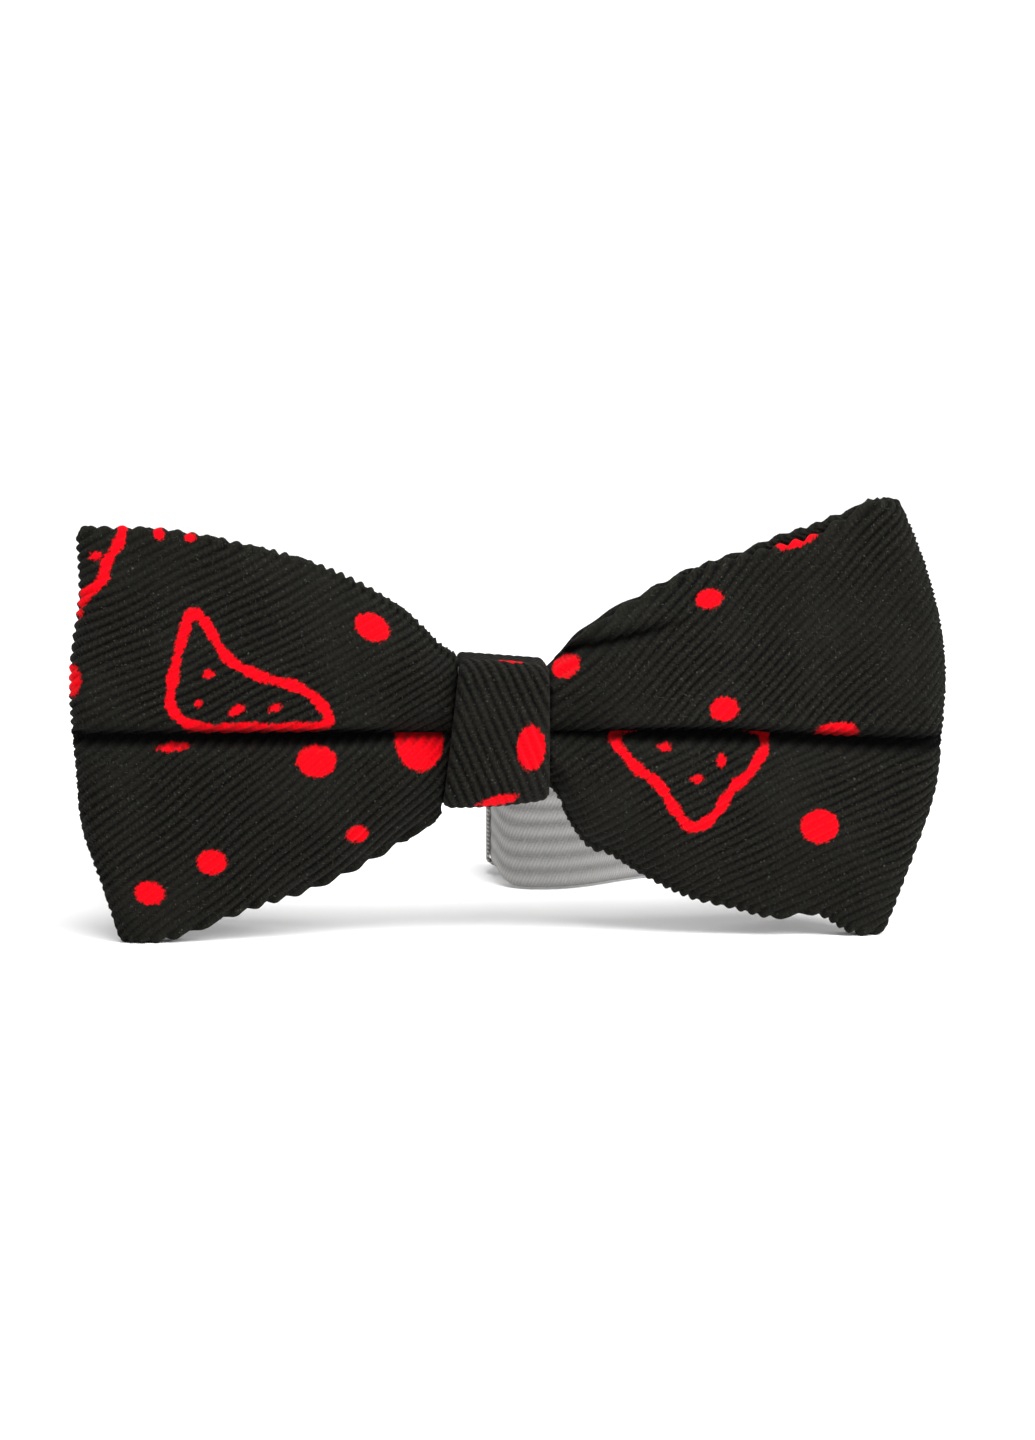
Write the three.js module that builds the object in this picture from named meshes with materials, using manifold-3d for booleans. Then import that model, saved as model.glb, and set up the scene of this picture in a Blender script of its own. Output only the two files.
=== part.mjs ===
// A pre-tied bow tie: a folded cloth bow, a wrapped knot, and a neckband in two halves with a hook, a ring
// and a size slider. Millimetres, +Z up, the bow's front faces -Y. The bow stands on its lower wing corners
// and the unhooked neckband stands on edge behind it.
import * as THREE from "three";
import { mergeVertices } from "three/addons/utils/BufferGeometryUtils.js";
import Module from "manifold-3d";

const wasm = await Module();
wasm.setup();

// ---- Driving dimensions ----
const gap = 0.3; // between pieces that touch

// Bow
const bowWidth = 120;
const leftTipHeight = 57.2;
const rightTipHeight = 60.5;
const topCornerInset = { left: 1.1, right: 6.8 }; // how far the top corner falls short of the widest point
const bottomCornerInset = { left: 6.6, right: 8.3 };
const widestHeight = 36;
const pleatHeight = 28;
const skin = 0.4; // cloth
const stiffener = 0.6; // interlining
const edgeDepth = 1.25; // middle of a panel to the bow's middle plane, at its edges and along the pleat
const tipDepth = 2.2; // the same, at the wing tips and inside the knot
const frontLobeRise = 3.4;
const backLobeRise = 1.8;
const lobePeak = 0.2; // share of the wing's length where the lobes are deepest
const knotFlare = 0.03; // share of the wing's length where it opens from the knot

// Knot
const knotHeight = 21.2;
const knotFoot = 17.9;
const knotLeftEdge = { top: -6.7, bottom: -9.0 };
const knotRightEdge = 5.1;
const knotCloth = 1.2;
const knotLining = 0.8;
const knotFrontPadding = 1.8;
const knotCorner = 2.6;
const knotSlit = 1.6; // where the band's two ends meet at the back
const seamThread = 0.5;
const bindingThread = 0.5;
const bindingWidth = 4;

// Neckband
const tapeThickness = 1.0;
const tapeSpace = 0.8; // above and below the tape inside the metal pieces
const sideCorner = { inset: 11.5, back: 23 }; // where each half turns back, from the widest point
const bend = 9; // length cut off a corner of the tape
const longSideInset = 7; // middle of the long half's side run, from the widest point
const longBack = 93; // middle of its back run
const longEnd = 24.5; // its hook bar, from the widest point
const tailEnd = 44; // free end of the doubled tape
const hemLength = 3.5;
const hemThickness = 1.5;
const tackWidth = 3;
const tackThread = 0.5;

// Metal pieces
const wire = 1.4;
const hookNeck = 4.6;
const hookTongueHeight = 9;
const hookPlate = 1.0;
const hookReach = 12.5;
const hookBendRadius = 1.6;
const hookTongueLength = 6;
const ringReach = 9;
const sliderLength = 9;
const sliderPlate = 1.2;
const sliderAt = 56.5;

// ---- Worked-out sizes ----
const halfWidth = bowWidth / 2;
const panelHalf = skin + gap + stiffener / 2;
const knotTop = knotFoot + knotHeight;
const knotMiddle = (knotFoot + knotTop) / 2;
const wrap = knotCloth + gap + knotLining; // the knot's two layers
const tapeWidth = knotHeight - 2 * (wrap + gap);
const tapeAtKnot = tipDepth + panelHalf + gap + bindingThread + gap + tapeThickness / 2;
const waistBottom = knotFoot + wrap + gap + bindingThread + gap;
const waistTop = knotTop - wrap - gap - bindingThread - gap;
const standingHeight = wire + tapeSpace + tapeWidth / 2; // middle of the tape where the metal stands
const metalTop = 2 * standingHeight;
const tapeHalf = tapeThickness / 2;
const strandOffset = wire + 2 * gap + tapeThickness; // between the middles of a doubled tape's strands

const cloth = new THREE.MeshStandardMaterial({ color: 0x1e201c, roughness: 0.9 });
const lining = new THREE.MeshStandardMaterial({ color: 0xd8d2c4, roughness: 1.0 });
const tape = new THREE.MeshStandardMaterial({ color: 0x8d8b88, roughness: 0.8 });
const thread = new THREE.MeshStandardMaterial({ color: 0x24241f, roughness: 0.9 });
const paleThread = new THREE.MeshStandardMaterial({ color: 0x9b9996, roughness: 0.9 });
const nickel = new THREE.MeshStandardMaterial({ color: 0xb9bbbd, roughness: 0.3, metalness: 1.0 });

const model = new THREE.Group();

function addPiece(name, geometry, material) {
  geometry.computeVertexNormals();
  const mesh = new THREE.Mesh(geometry, material);
  mesh.name = name;
  model.add(mesh);
  return mesh;
}

// ---- Surfaces from rings of points ----

function closedGeometry(points, faces) {
  let volume = 0;
  for (const [a, b, c] of faces) {
    volume += points[a].dot(new THREE.Vector3().crossVectors(points[b], points[c]));
  }
  const outward = volume > 0 ? faces : faces.map(([a, b, c]) => [a, c, b]);
  const geometry = new THREE.BufferGeometry().setFromPoints(points);
  geometry.setIndex(outward.flat());
  return geometry;
}

// Faces between each ring and the next, turned over when reversed.
function sideFaces(rings, first, looped, reversed) {
  const sides = rings[0].length;
  const faces = [];
  const last = looped ? rings.length : rings.length - 1;
  for (let i = 0; i < last; i++) {
    const here = first + i * sides;
    const next = first + ((i + 1) % rings.length) * sides;
    for (let j = 0; j < sides; j++) {
      const k = (j + 1) % sides;
      const [a, b, c, d] = [here + j, here + k, next + k, next + j];
      if (reversed) faces.push([a, c, b], [a, d, c]);
      else faces.push([a, b, c], [a, c, d]);
    }
  }
  return faces;
}

// A ring whose second half runs back along its first half is closed by rungs between the two.
function ladderCap(sides, first, reversed) {
  const faces = [];
  for (let j = 0; j < sides / 2 - 1; j++) {
    const quad = [first + j + 1, first + j, first + sides - 1 - j, first + sides - 2 - j];
    const [a, b, c, d] = reversed ? quad.reverse() : quad;
    faces.push([a, b, c], [a, c, d]);
  }
  return faces;
}

function strip(rings, looped = false) {
  const sides = rings[0].length;
  const faces = sideFaces(rings, 0, looped, false);
  if (!looped) {
    faces.push(...ladderCap(sides, 0, false), ...ladderCap(sides, (rings.length - 1) * sides, true));
  }
  return closedGeometry(rings.flat(), faces);
}

// A sleeve: an outer and an inner surface with the same rings, open at both ends.
function sleeve(outer, inner) {
  const sides = outer[0].length;
  const shift = outer.length * sides;
  const faces = [...sideFaces(outer, 0, false, false), ...sideFaces(inner, shift, false, true)];
  for (const [first, reversed] of [[0, false], [shift - sides, true]]) {
    for (let j = 0; j < sides; j++) {
      const k = (j + 1) % sides;
      const quad = [first + k, first + j, first + j + shift, first + k + shift];
      const [a, b, c, d] = reversed ? quad.reverse() : quad;
      faces.push([a, b, c], [a, c, d]);
    }
  }
  return closedGeometry([...outer, ...inner].flat(), faces);
}

function solidOf(geometry) {
  const bare = geometry.clone();
  bare.deleteAttribute("normal");
  bare.deleteAttribute("uv");
  const merged = mergeVertices(bare, 1e-4);
  return new wasm.Manifold(
    new wasm.Mesh({
      numProp: 3,
      vertProperties: merged.attributes.position.array,
      triVerts: new Uint32Array(merged.index.array),
    }),
  );
}

function joined(...geometries) {
  const [first, ...rest] = geometries.map(solidOf);
  const mesh = rest.reduce((sum, solid) => sum.add(solid), first).getMesh();
  const geometry = new THREE.BufferGeometry();
  geometry.setAttribute("position", new THREE.BufferAttribute(mesh.vertProperties, 3));
  geometry.setIndex(new THREE.BufferAttribute(mesh.triVerts, 1));
  return geometry;
}

function mix(a, b, share) {
  return a + (b - a) * share;
}

function ease(share) {
  const t = Math.min(Math.max(share, 0), 1);
  return t * t * (3 - 2 * t);
}

// ---- Bow: one stiffened sleeve, folded at the wing tips so that its ends meet behind the waist ----

const wings = {
  left: {
    side: -1,
    start: -knotLeftEdge.bottom + gap,
    knotTop: 39.5,
    knotBottom: 17.6,
    tipTop: leftTipHeight,
    topBend: 2.5,
    bottomBend: 1.75,
    topInset: topCornerInset.left,
    bottomInset: bottomCornerInset.left,
  },
  right: {
    side: 1,
    start: knotRightEdge + gap,
    knotTop: 38.8,
    knotBottom: 19.0,
    tipTop: rightTipHeight,
    topBend: 1.6,
    bottomBend: 2.2,
    topInset: topCornerInset.right,
    bottomInset: bottomCornerInset.right,
  },
};
const lobeLines = [0, 0.18, 0.5, 0.82, 1];
const wingShares = [0, 0.015, 0.03, 0.09, 0.18, 0.32, 0.46, 0.62, 0.8, 1];
const foldTurns = [30, 60, 90, 120, 150].map(THREE.MathUtils.degToRad);

// How far the wing's side edge is from the bow's middle, at a height.
function wingReach(wing, height) {
  const widest = Math.min(widestHeight, wing.tipTop - 1);
  const above = height > widest;
  const share = above ? (height - widest) / (wing.tipTop - widest) : (widest - height) / widest;
  const inset = above ? wing.topInset : wing.bottomInset;
  return halfWidth - inset * share ** 1.8;
}

function wingEdges(wing, share) {
  const open = ease(share / knotFlare);
  const top = mix(wing.knotTop, wing.tipTop, 1 - (1 - share) ** wing.topBend);
  const bottom = mix(wing.knotBottom, 0, 1 - (1 - share) ** wing.bottomBend);
  return { top: mix(waistTop, top, open), bottom: mix(waistBottom, bottom, open) };
}

// Middle of a panel to the bow's middle plane, at a share of the wing's length and of a lobe's height.
function panelDepth(share, lobeShare, rise) {
  const edge = mix(tipDepth, edgeDepth, ease(share / knotFlare));
  const swell = (share / lobePeak) * Math.exp(1 - share / lobePeak);
  return mix(edge, tipDepth + rise * swell, Math.sin(Math.PI * lobeShare) ** 0.8);
}

// The panel's lines from its bottom edge to its top edge: a lower and an upper lobe that meet at the pleat.
function panelLines(wing, share) {
  const { top, bottom } = wingEdges(wing, share);
  const lower = lobeLines.map((line) => ({ line, height: mix(bottom, pleatHeight, line) }));
  const upper = lobeLines.slice(1).map((line) => ({ line, height: mix(pleatHeight, top, line) }));
  return [...lower, ...upper];
}

// Draws a line's two end points in along the line.
function drawnIn(line, inset) {
  const ends = [[0, 1], [line.length - 1, line.length - 2]];
  for (const [end, next] of ends) {
    const share = inset / Math.abs(line[next].z - line[end].z);
    line[end].lerp(line[next], share);
  }
  return line;
}

// One section ring, offset from the panel's middle by half a thickness, its edges drawn in by an inset.
function bowRing(wing, share, turn, half, inset) {
  const lines = panelLines(wing, share);
  const place = ({ line, height }, offset) => {
    const front = panelDepth(share, line, frontLobeRise);
    const back = panelDepth(share, line, backLobeRise);
    const depth = mix(front, back, turn / Math.PI) + offset;
    const foldAt = wingReach(wing, height) - tipDepth - panelHalf;
    const x = mix(wing.start, foldAt, share) + Math.sin(turn) * depth;
    return new THREE.Vector3(wing.side * x, -Math.cos(turn) * depth, height);
  };
  const outside = drawnIn(lines.map((line) => place(line, half)), inset);
  const inside = drawnIn(lines.map((line) => place(line, -half)), inset).reverse();
  return [...outside, ...inside];
}

// Rings from the sleeve's one end, behind the waist, round both wings to its other end.
function bowRings(half, inset) {
  const wingRings = (wing) => [
    ...wingShares.map((share) => bowRing(wing, share, 0, half, inset)),
    ...foldTurns.map((turn) => bowRing(wing, 1, turn, half, inset)),
    ...wingShares.toReversed().map((share) => bowRing(wing, share, Math.PI, half, inset)),
  ];
  const rings = [...wingRings(wings.left).reverse(), ...wingRings(wings.right)];
  const middle = (wings.right.start - wings.left.start) / 2;
  const closeTo = (ring, x) => ring.map((point) => new THREE.Vector3(x, point.y, point.z));
  return [closeTo(rings[0], middle - gap), ...rings, closeTo(rings.at(-1), middle + gap)];
}

addPiece("bow_cloth", sleeve(bowRings(panelHalf, 0), bowRings(panelHalf - skin, skin)), cloth);
addPiece("bow_interlining", strip(bowRings(stiffener / 2, skin + gap)), lining);

// ---- Knot: a cloth band round the waist and the neckband, lined, its ends sewn together at the back ----

function roundedLoop(low, high, corner, slit) {
  const middle = (low.z + high.z) / 2;
  const points = [{ y: high.y, z: middle + slit / 2 }];
  const corners = [
    { y: high.y - corner, z: high.z - corner, from: 0 },
    { y: low.y + corner, z: high.z - corner, from: 90 },
    { y: low.y + corner, z: low.z + corner, from: 180 },
    { y: high.y - corner, z: low.z + corner, from: 270 },
  ];
  for (const { y, z, from } of corners) {
    for (const step of [0, 30, 60, 90]) {
      const angle = THREE.MathUtils.degToRad(from + step);
      points.push({ y: y + corner * Math.cos(angle), z: z + corner * Math.sin(angle) });
    }
  }
  points.push({ y: high.y, z: middle - slit / 2 });
  return points;
}

function knotEdges(height) {
  const share = (height - knotFoot) / knotHeight;
  return { left: mix(knotLeftEdge.bottom, knotLeftEdge.top, share), right: knotRightEdge };
}

// A strip that goes round in the YZ plane between two loops of points, with its side edges in X.
function loopStrip(outer, inner, sideInset) {
  const rings = outer.map((far, index) => {
    const near = inner[index];
    const corner = (point, edge, inset) => new THREE.Vector3(edge + inset, point.y, point.z);
    const farEdges = knotEdges(far.z);
    const nearEdges = knotEdges(near.z);
    return [
      corner(far, farEdges.left, sideInset),
      corner(far, farEdges.right, -sideInset),
      corner(near, nearEdges.right, -sideInset),
      corner(near, nearEdges.left, sideInset),
    ];
  });
  return strip(rings);
}

const held = {
  low: { y: -(tipDepth + panelHalf + gap + bindingThread + gap), z: knotFoot + wrap },
  high: { y: tapeAtKnot + tapeHalf + gap, z: knotTop - wrap },
};
const liningLow = { y: held.low.y - knotFrontPadding, z: held.low.z - knotLining };
const liningHigh = { y: held.high.y + knotLining, z: held.high.z + knotLining };
const bandLow = { y: liningLow.y - gap, z: liningLow.z - gap };
const bandHigh = { y: liningHigh.y + gap, z: liningHigh.z + gap };
const outLow = { y: bandLow.y - knotCloth, z: bandLow.z - knotCloth };
const outHigh = { y: bandHigh.y + knotCloth, z: bandHigh.z + knotCloth };

addPiece(
  "knot_band",
  loopStrip(
    roundedLoop(outLow, outHigh, knotCorner, knotSlit),
    roundedLoop(bandLow, bandHigh, knotCorner - knotCloth, knotSlit),
    0,
  ),
  cloth,
);
addPiece(
  "knot_interlining",
  loopStrip(
    roundedLoop(liningLow, liningHigh, knotCorner - knotCloth - gap, knotSlit),
    roundedLoop(held.low, held.high, gap, knotSlit),
    1,
  ),
  lining,
);

// Ladder stitches across the slit at the back of the knot.
function seamStitch() {
  const stitches = 9;
  const reach = 1;
  const from = mix(knotLeftEdge.bottom, knotLeftEdge.top, 0.5) + reach;
  const to = knotRightEdge - reach;
  const swing = knotSlit / 2 - gap - seamThread / 2;
  const depth = (bandHigh.y + outHigh.y) / 2;
  const rings = [];
  for (let i = 0; i <= 2 * stitches; i++) {
    const x = mix(from, to, i / (2 * stitches));
    const z = knotMiddle + (i % 2 ? swing : -swing);
    rings.push(
      [[-1, -1], [-1, 1], [1, 1], [1, -1]].map(
        ([y, up]) =>
          new THREE.Vector3(x, depth + (y * seamThread) / 2, z + (up * seamThread) / 2),
      ),
    );
  }
  return strip(rings);
}
addPiece("knot_seam_stitch", seamStitch(), thread);

// Thread wound round the pinched waist.
function waistBinding() {
  const y = tipDepth + panelHalf + gap;
  const low = { y: -y, z: waistBottom - gap };
  const high = { y, z: waistTop + gap };
  const grow = (point, by) => ({ y: point.y + by, z: point.z + by });
  const inner = roundedLoop(low, high, gap, gap);
  const outer = roundedLoop(grow(low, -bindingThread), grow(high, bindingThread), bindingThread, gap);
  const middle = (knotRightEdge + knotLeftEdge.bottom) / 2;
  const rings = outer.map((far, index) => [
    new THREE.Vector3(middle - bindingWidth / 2, far.y, far.z),
    new THREE.Vector3(middle + bindingWidth / 2, far.y, far.z),
    new THREE.Vector3(middle + bindingWidth / 2, inner[index].y, inner[index].z),
    new THREE.Vector3(middle - bindingWidth / 2, inner[index].y, inner[index].z),
  ]);
  return strip(rings, true);
}
addPiece("waist_binding", waistBinding(), thread);

// ---- Neckband: ribbed tape on edge ----

// A plan route of straight runs whose corners are rounded off over a cut length: [x, y, cut].
function planRoute(corners) {
  const at = corners.map(([x, y]) => new THREE.Vector2(x, y));
  const route = new THREE.Path().moveTo(at[0].x, at[0].y);
  for (let i = 1; i < at.length - 1; i++) {
    const cut = corners[i][2];
    const before = at[i - 1].clone().sub(at[i]).setLength(cut).add(at[i]);
    const after = at[i + 1].clone().sub(at[i]).setLength(cut).add(at[i]);
    route.lineTo(before.x, before.y);
    route.quadraticCurveTo(at[i].x, at[i].y, after.x, after.y);
  }
  return route.lineTo(at.at(-1).x, at.at(-1).y);
}

// Stations of a tape on edge: where its middle is, which way it faces, how high and how thick it is there.
function stationsOn(route, from, to, count, heightAt) {
  const stations = [];
  for (let i = 0; i <= count; i++) {
    const share = mix(from, to, i / count);
    const point = route.getPointAt(share);
    const along = route.getTangentAt(share);
    stations.push({ point, along, height: heightAt(share, point), half: tapeHalf });
  }
  return stations;
}

function facing({ along }) {
  return new THREE.Vector2(along.y, -along.x);
}

function moved(station, distance) {
  return { ...station, point: facing(station).multiplyScalar(distance).add(station.point) };
}

// A round end about the first station, so that the tape can turn there.
function roundEnd(station) {
  return [75, 50, 25].map((degrees) => {
    const angle = THREE.MathUtils.degToRad(degrees);
    const point = station.point.clone().addScaledVector(station.along, -tapeHalf * Math.sin(angle));
    return { ...station, point, half: tapeHalf * Math.cos(angle) };
  });
}

// The tape's turn round a bar, from the strand at the last station to the strand beside it.
function barTurn(station, side) {
  const centre = moved(station, (side * strandOffset) / 2).point;
  return [30, 60, 90, 120, 150].map((degrees) => {
    const angle = THREE.MathUtils.degToRad(degrees);
    const out = facing(station).multiplyScalar(-side * Math.cos(angle));
    out.addScaledVector(station.along, Math.sin(angle));
    const point = out.clone().multiplyScalar(strandOffset / 2).add(centre);
    const along = new THREE.Vector2(-out.y, out.x).multiplyScalar(-side);
    return { ...station, point, along };
  });
}

function turnedBack(stations, side) {
  return stations
    .map((station) => moved(station, side * strandOffset))
    .reverse()
    .map((station) => ({ ...station, along: station.along.clone().negate() }));
}

function ribbon(stations, width) {
  return strip(
    stations.map((station) => {
      const out = facing(station).multiplyScalar(station.half);
      const corner = (sign, up) =>
        new THREE.Vector3(
          station.point.x + sign * out.x,
          station.point.y + sign * out.y,
          station.height + (up * width) / 2,
        );
      return [corner(1, -1), corner(1, 1), corner(-1, 1), corner(-1, -1)];
    }),
  );
}

const cornerX = halfWidth - sideCorner.inset;
const knotExit = { left: -knotLeftEdge.bottom + 2, right: knotRightEdge + 3 };

// From behind the waist, down behind the wing, to just short of the turning point at the side corner.
function frontRun(side, exit) {
  const inside = (wings.right.start - wings.left.start) / 2 + side * gap;
  const route = planRoute([
    [inside, tapeAtKnot],
    [side * exit, tapeAtKnot, 3.5],
    [side * (cornerX - 12.5), tapeAtKnot + 6.1, 6.5],
    [side * cornerX, sideCorner.back],
  ]);
  const drop = (share, point) => {
    const run = (Math.abs(point.x) - exit) / (cornerX - 6.5 - exit);
    return mix(knotMiddle, standingHeight, ease(run));
  };
  const end = 1 - (tapeHalf + gap) / route.getLength();
  return ribbon(stationsOn(route, 0, end, 22, drop), tapeWidth);
}

addPiece("neckband_long_front", frontRun(-1, knotExit.left), tape);
addPiece("neckband_short_front", frontRun(1, knotExit.right), tape);

// Long half: side run and back run, then round the hook's bar and back inside itself to a hemmed free end.
const longSideX = -(halfWidth - longSideInset);
const hookBarX = -(halfWidth - longEnd);
const longRoute = planRoute([
  [-cornerX, sideCorner.back],
  [longSideX, sideCorner.back + 11, 4],
  [longSideX, longBack, bend],
  [hookBarX, longBack],
]);
const longStations = stationsOn(longRoute, 0, 1, 40, () => standingHeight);
const returnStations = longStations.filter(({ point }) => point.y > tailEnd + hemLength);
const hem = [hemLength - gap, 0].map((along) => ({
  ...turnedBack(returnStations, 1).at(-1),
  point: new THREE.Vector2(longSideX + strandOffset, tailEnd + along),
  half: hemThickness / 2,
}));
addPiece(
  "neckband_long_back",
  ribbon(
    [
      ...roundEnd(longStations[0]),
      ...longStations,
      ...barTurn(longStations.at(-1), 1),
      ...turnedBack(returnStations, 1),
      ...hem,
    ],
    tapeWidth,
  ),
  tape,
);

// Short half: curls back inward to the ring, dipping to the surface where it bows forward under the knot.
const ringBarY = 57;
const ringStrandX = 0.5;
const bightY = 37.5;
const shortRoute = planRoute([
  [cornerX, sideCorner.back],
  [cornerX + 5.5, sideCorner.back + 17, 6],
  [cornerX - 8.5, sideCorner.back + 33, 8],
  [22, 48, 3.5],
  [10, bightY, 4],
  [ringStrandX, bightY + 1.5, 4.5],
  [ringStrandX, ringBarY],
]);
const dip = standingHeight - tapeWidth / 2 - gap;
const shortHeight = (share) => standingHeight - dip * Math.sin(Math.PI * ease(share * 1.1)) ** 2;
const shortStations = stationsOn(shortRoute, 0, 1, 40, shortHeight);
const ringReturn = shortStations.filter(({ point, along }) => along.y > 0.99 && point.x < 1 && point.y > 45);
addPiece(
  "neckband_short_back",
  ribbon(
    [
      ...roundEnd(shortStations[0]),
      ...shortStations,
      ...barTurn(shortStations.at(-1), 1),
      ...turnedBack(ringReturn, 1),
    ],
    tapeWidth,
  ),
  tape,
);

// Thread whipped round both strands of a doubled tape. Its middle is between the strands.
function tack(middle, alongY) {
  const width = strandOffset + tapeThickness + 2 * gap;
  const height = tapeWidth + 2 * gap;
  const box = (w, h) => [[-w / 2, -h / 2], [w / 2, -h / 2], [w / 2, h / 2], [-w / 2, h / 2]];
  const outline = new THREE.Shape(
    box(width + 2 * tackThread, height + 2 * tackThread).map(([x, y]) => new THREE.Vector2(x, y)),
  );
  outline.holes.push(new THREE.Path(box(width, height).map(([x, y]) => new THREE.Vector2(x, y))));
  const geometry = new THREE.ExtrudeGeometry(outline, { depth: tackWidth, bevelEnabled: false });
  geometry.translate(0, 0, -tackWidth / 2).rotateX(Math.PI / 2);
  if (!alongY) geometry.rotateZ(Math.PI / 2);
  return mergeVertices(geometry.translate(middle.x, middle.y, standingHeight));
}

const hookBar = moved(longStations.at(-1), strandOffset / 2).point;
const ringBar = moved(shortStations.at(-1), strandOffset / 2).point;
const tackBack = 4.5;
addPiece("hook_tack", tack({ x: hookBar.x - tackBack, y: hookBar.y }, false), paleThread);
addPiece("ring_tack", tack({ x: ringBar.x, y: ringBar.y - tackBack }, true), paleThread);

// ---- Metal pieces, each standing on the surface, 0 to metalTop high ----

// A closed loop of wire in an upright plane, from a bar at 0 to a bar at the reach, along X.
function wireLoop(reach) {
  const radius = wire / 2;
  const corner = 1.2;
  const path = [];
  const corners = [
    { x: reach - corner, z: metalTop - radius - corner, from: 0 },
    { x: corner, z: metalTop - radius - corner, from: 90 },
    { x: corner, z: radius + corner, from: 180 },
    { x: reach - corner, z: radius + corner, from: 270 },
  ];
  for (const { x, z, from } of corners) {
    for (const step of [0, 45, 90]) {
      const angle = THREE.MathUtils.degToRad(from + step);
      const out = new THREE.Vector3(Math.cos(angle), 0, Math.sin(angle));
      path.push({ at: new THREE.Vector3(x, 0, z).addScaledVector(out, corner), out });
    }
  }
  const sides = 8;
  const rings = path.map(({ at, out }) =>
    Array.from({ length: sides }, (_, side) => {
      const angle = (2 * Math.PI * (side + 0.5)) / sides;
      const point = at.clone().addScaledVector(out, radius * Math.cos(angle));
      return point.setY(radius * Math.sin(angle));
    }),
  );
  return strip(rings, true);
}

function hookGeometry() {
  const route = new THREE.Path().moveTo(hookNeck, 0).lineTo(hookReach, 0);
  route.absarc(hookReach, hookBendRadius, hookBendRadius, -Math.PI / 2, Math.PI / 2, false);
  route.lineTo(hookReach - hookTongueLength, 2 * hookBendRadius);
  const stations = stationsOn(route, 0, 1, 24, () => standingHeight).map((station) => ({
    ...station,
    half: hookPlate / 2,
  }));
  return joined(wireLoop(hookNeck), ribbon(stations, hookTongueHeight));
}
const hook = addPiece("hook", hookGeometry(), nickel);
hook.position.set(hookBar.x, hookBar.y, 0);

const ring = addPiece("ring", wireLoop(ringReach), nickel);
ring.rotation.z = Math.PI / 2;
ring.position.set(ringBar.x, ringBar.y, 0);

// Two rails with one bar outside the doubled tape and two bars inside it.
function sliderGeometry() {
  const outer = tapeHalf + 2 * gap;
  const inner = strandOffset + tapeHalf + 2 * gap;
  const bars = [
    { x: -outer - sliderPlate / 2, y: 0 },
    { x: inner + sliderPlate / 2, y: -(sliderLength - wire) / 2 },
    { x: inner + sliderPlate / 2, y: (sliderLength - wire) / 2 },
  ].map(({ x, y }) =>
    new THREE.BoxGeometry(sliderPlate, wire, metalTop).translate(x, y, metalTop / 2),
  );
  const railWidth = outer + inner + 2 * sliderPlate;
  const rails = [wire / 2, metalTop - wire / 2].map((z) =>
    new THREE.BoxGeometry(railWidth, sliderLength, wire).translate((inner - outer) / 2, 0, z),
  );
  return joined(...rails, ...bars);
}
const slider = addPiece("slider", sliderGeometry(), nickel);
slider.position.set(longSideX, sliderAt, 0);

// Origin under the middle of the whole part.
model.updateMatrixWorld(true);
const box = new THREE.Box3().setFromObject(model);
const middle = box.getCenter(new THREE.Vector3());
model.position.set(-middle.x, -middle.y, -box.min.z);

export default model;
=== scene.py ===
"""A pre-tied bow tie of printed charcoal twill, standing on its lower wing corners, with its grey ribbed
neckband unhooked behind it. Lengths in the tables and formulas are millimetres in the bow's own frame:
x from the knot, y back from the bow's middle plane, z up. placed() turns them into the part's frame."""

import itertools
import math

import bmesh
import bpy
import numpy as np
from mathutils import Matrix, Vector


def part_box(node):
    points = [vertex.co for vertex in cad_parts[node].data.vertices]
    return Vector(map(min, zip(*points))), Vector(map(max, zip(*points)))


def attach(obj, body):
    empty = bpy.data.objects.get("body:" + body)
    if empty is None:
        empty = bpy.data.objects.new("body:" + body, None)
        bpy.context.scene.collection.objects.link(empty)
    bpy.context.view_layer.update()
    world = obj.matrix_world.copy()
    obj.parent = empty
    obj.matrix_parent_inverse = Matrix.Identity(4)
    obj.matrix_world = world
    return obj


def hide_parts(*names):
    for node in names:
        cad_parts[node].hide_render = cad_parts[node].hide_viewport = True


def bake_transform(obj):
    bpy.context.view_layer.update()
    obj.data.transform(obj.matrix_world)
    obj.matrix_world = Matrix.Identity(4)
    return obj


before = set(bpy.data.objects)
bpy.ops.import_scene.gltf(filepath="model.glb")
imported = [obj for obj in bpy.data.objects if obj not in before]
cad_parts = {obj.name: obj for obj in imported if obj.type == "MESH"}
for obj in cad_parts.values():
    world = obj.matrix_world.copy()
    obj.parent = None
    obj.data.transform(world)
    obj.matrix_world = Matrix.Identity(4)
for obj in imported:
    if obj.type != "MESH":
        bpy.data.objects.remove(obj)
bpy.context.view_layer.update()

MM = 0.001
PITCH = 1.18  # between the cloth's ribs
RIB_HEIGHT = 0.24
EDGE_RIB_HEIGHT = 0.75
KNOT_RIB_HEIGHT = 0.16
KNOT_RIB_ANGLE = math.radians(64)
TAPE_RIB_PITCH = 2.3
NO_PRINT = 9.0  # a print distance that is well clear of any print

# Bow, knot and tape. Depths are from the bow's middle plane to the middle of a panel.
WIDEST_HEIGHT = 36.0
PLEAT_HEIGHT = 28.9
PANEL_HALF = 1.0
EDGE_DEPTH = 1.1
TIP_DEPTH = 2.2
FRONT_RISE = 3.4
BACK_RISE = 1.8
LOBE_PEAK = 0.2  # where the lobes are fullest, as a share of the way to the tip
KNOT_FLARE = 0.03  # where the edges are thin again, as a share of the way to the tip
KNOT_FOOT = 19.1
KNOT_HEIGHT = 20.0
KNOT_MIDDLE = KNOT_FOOT + KNOT_HEIGHT / 2
KNOT_FRONT = -7.6
KNOT_BACK = 7.9
KNOT_CORNER = 3.4
KNOT_SLIT = 0.8  # from its middle height to each of its ends at the back
KNOT_CLOTH = 1.0
KNOT_LEFT = (-9.4, -7.1)  # at its foot and its top
KNOT_RIGHT = 5.1
UNDER_KNOT = 0.75  # of the wings' inner ends
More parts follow.
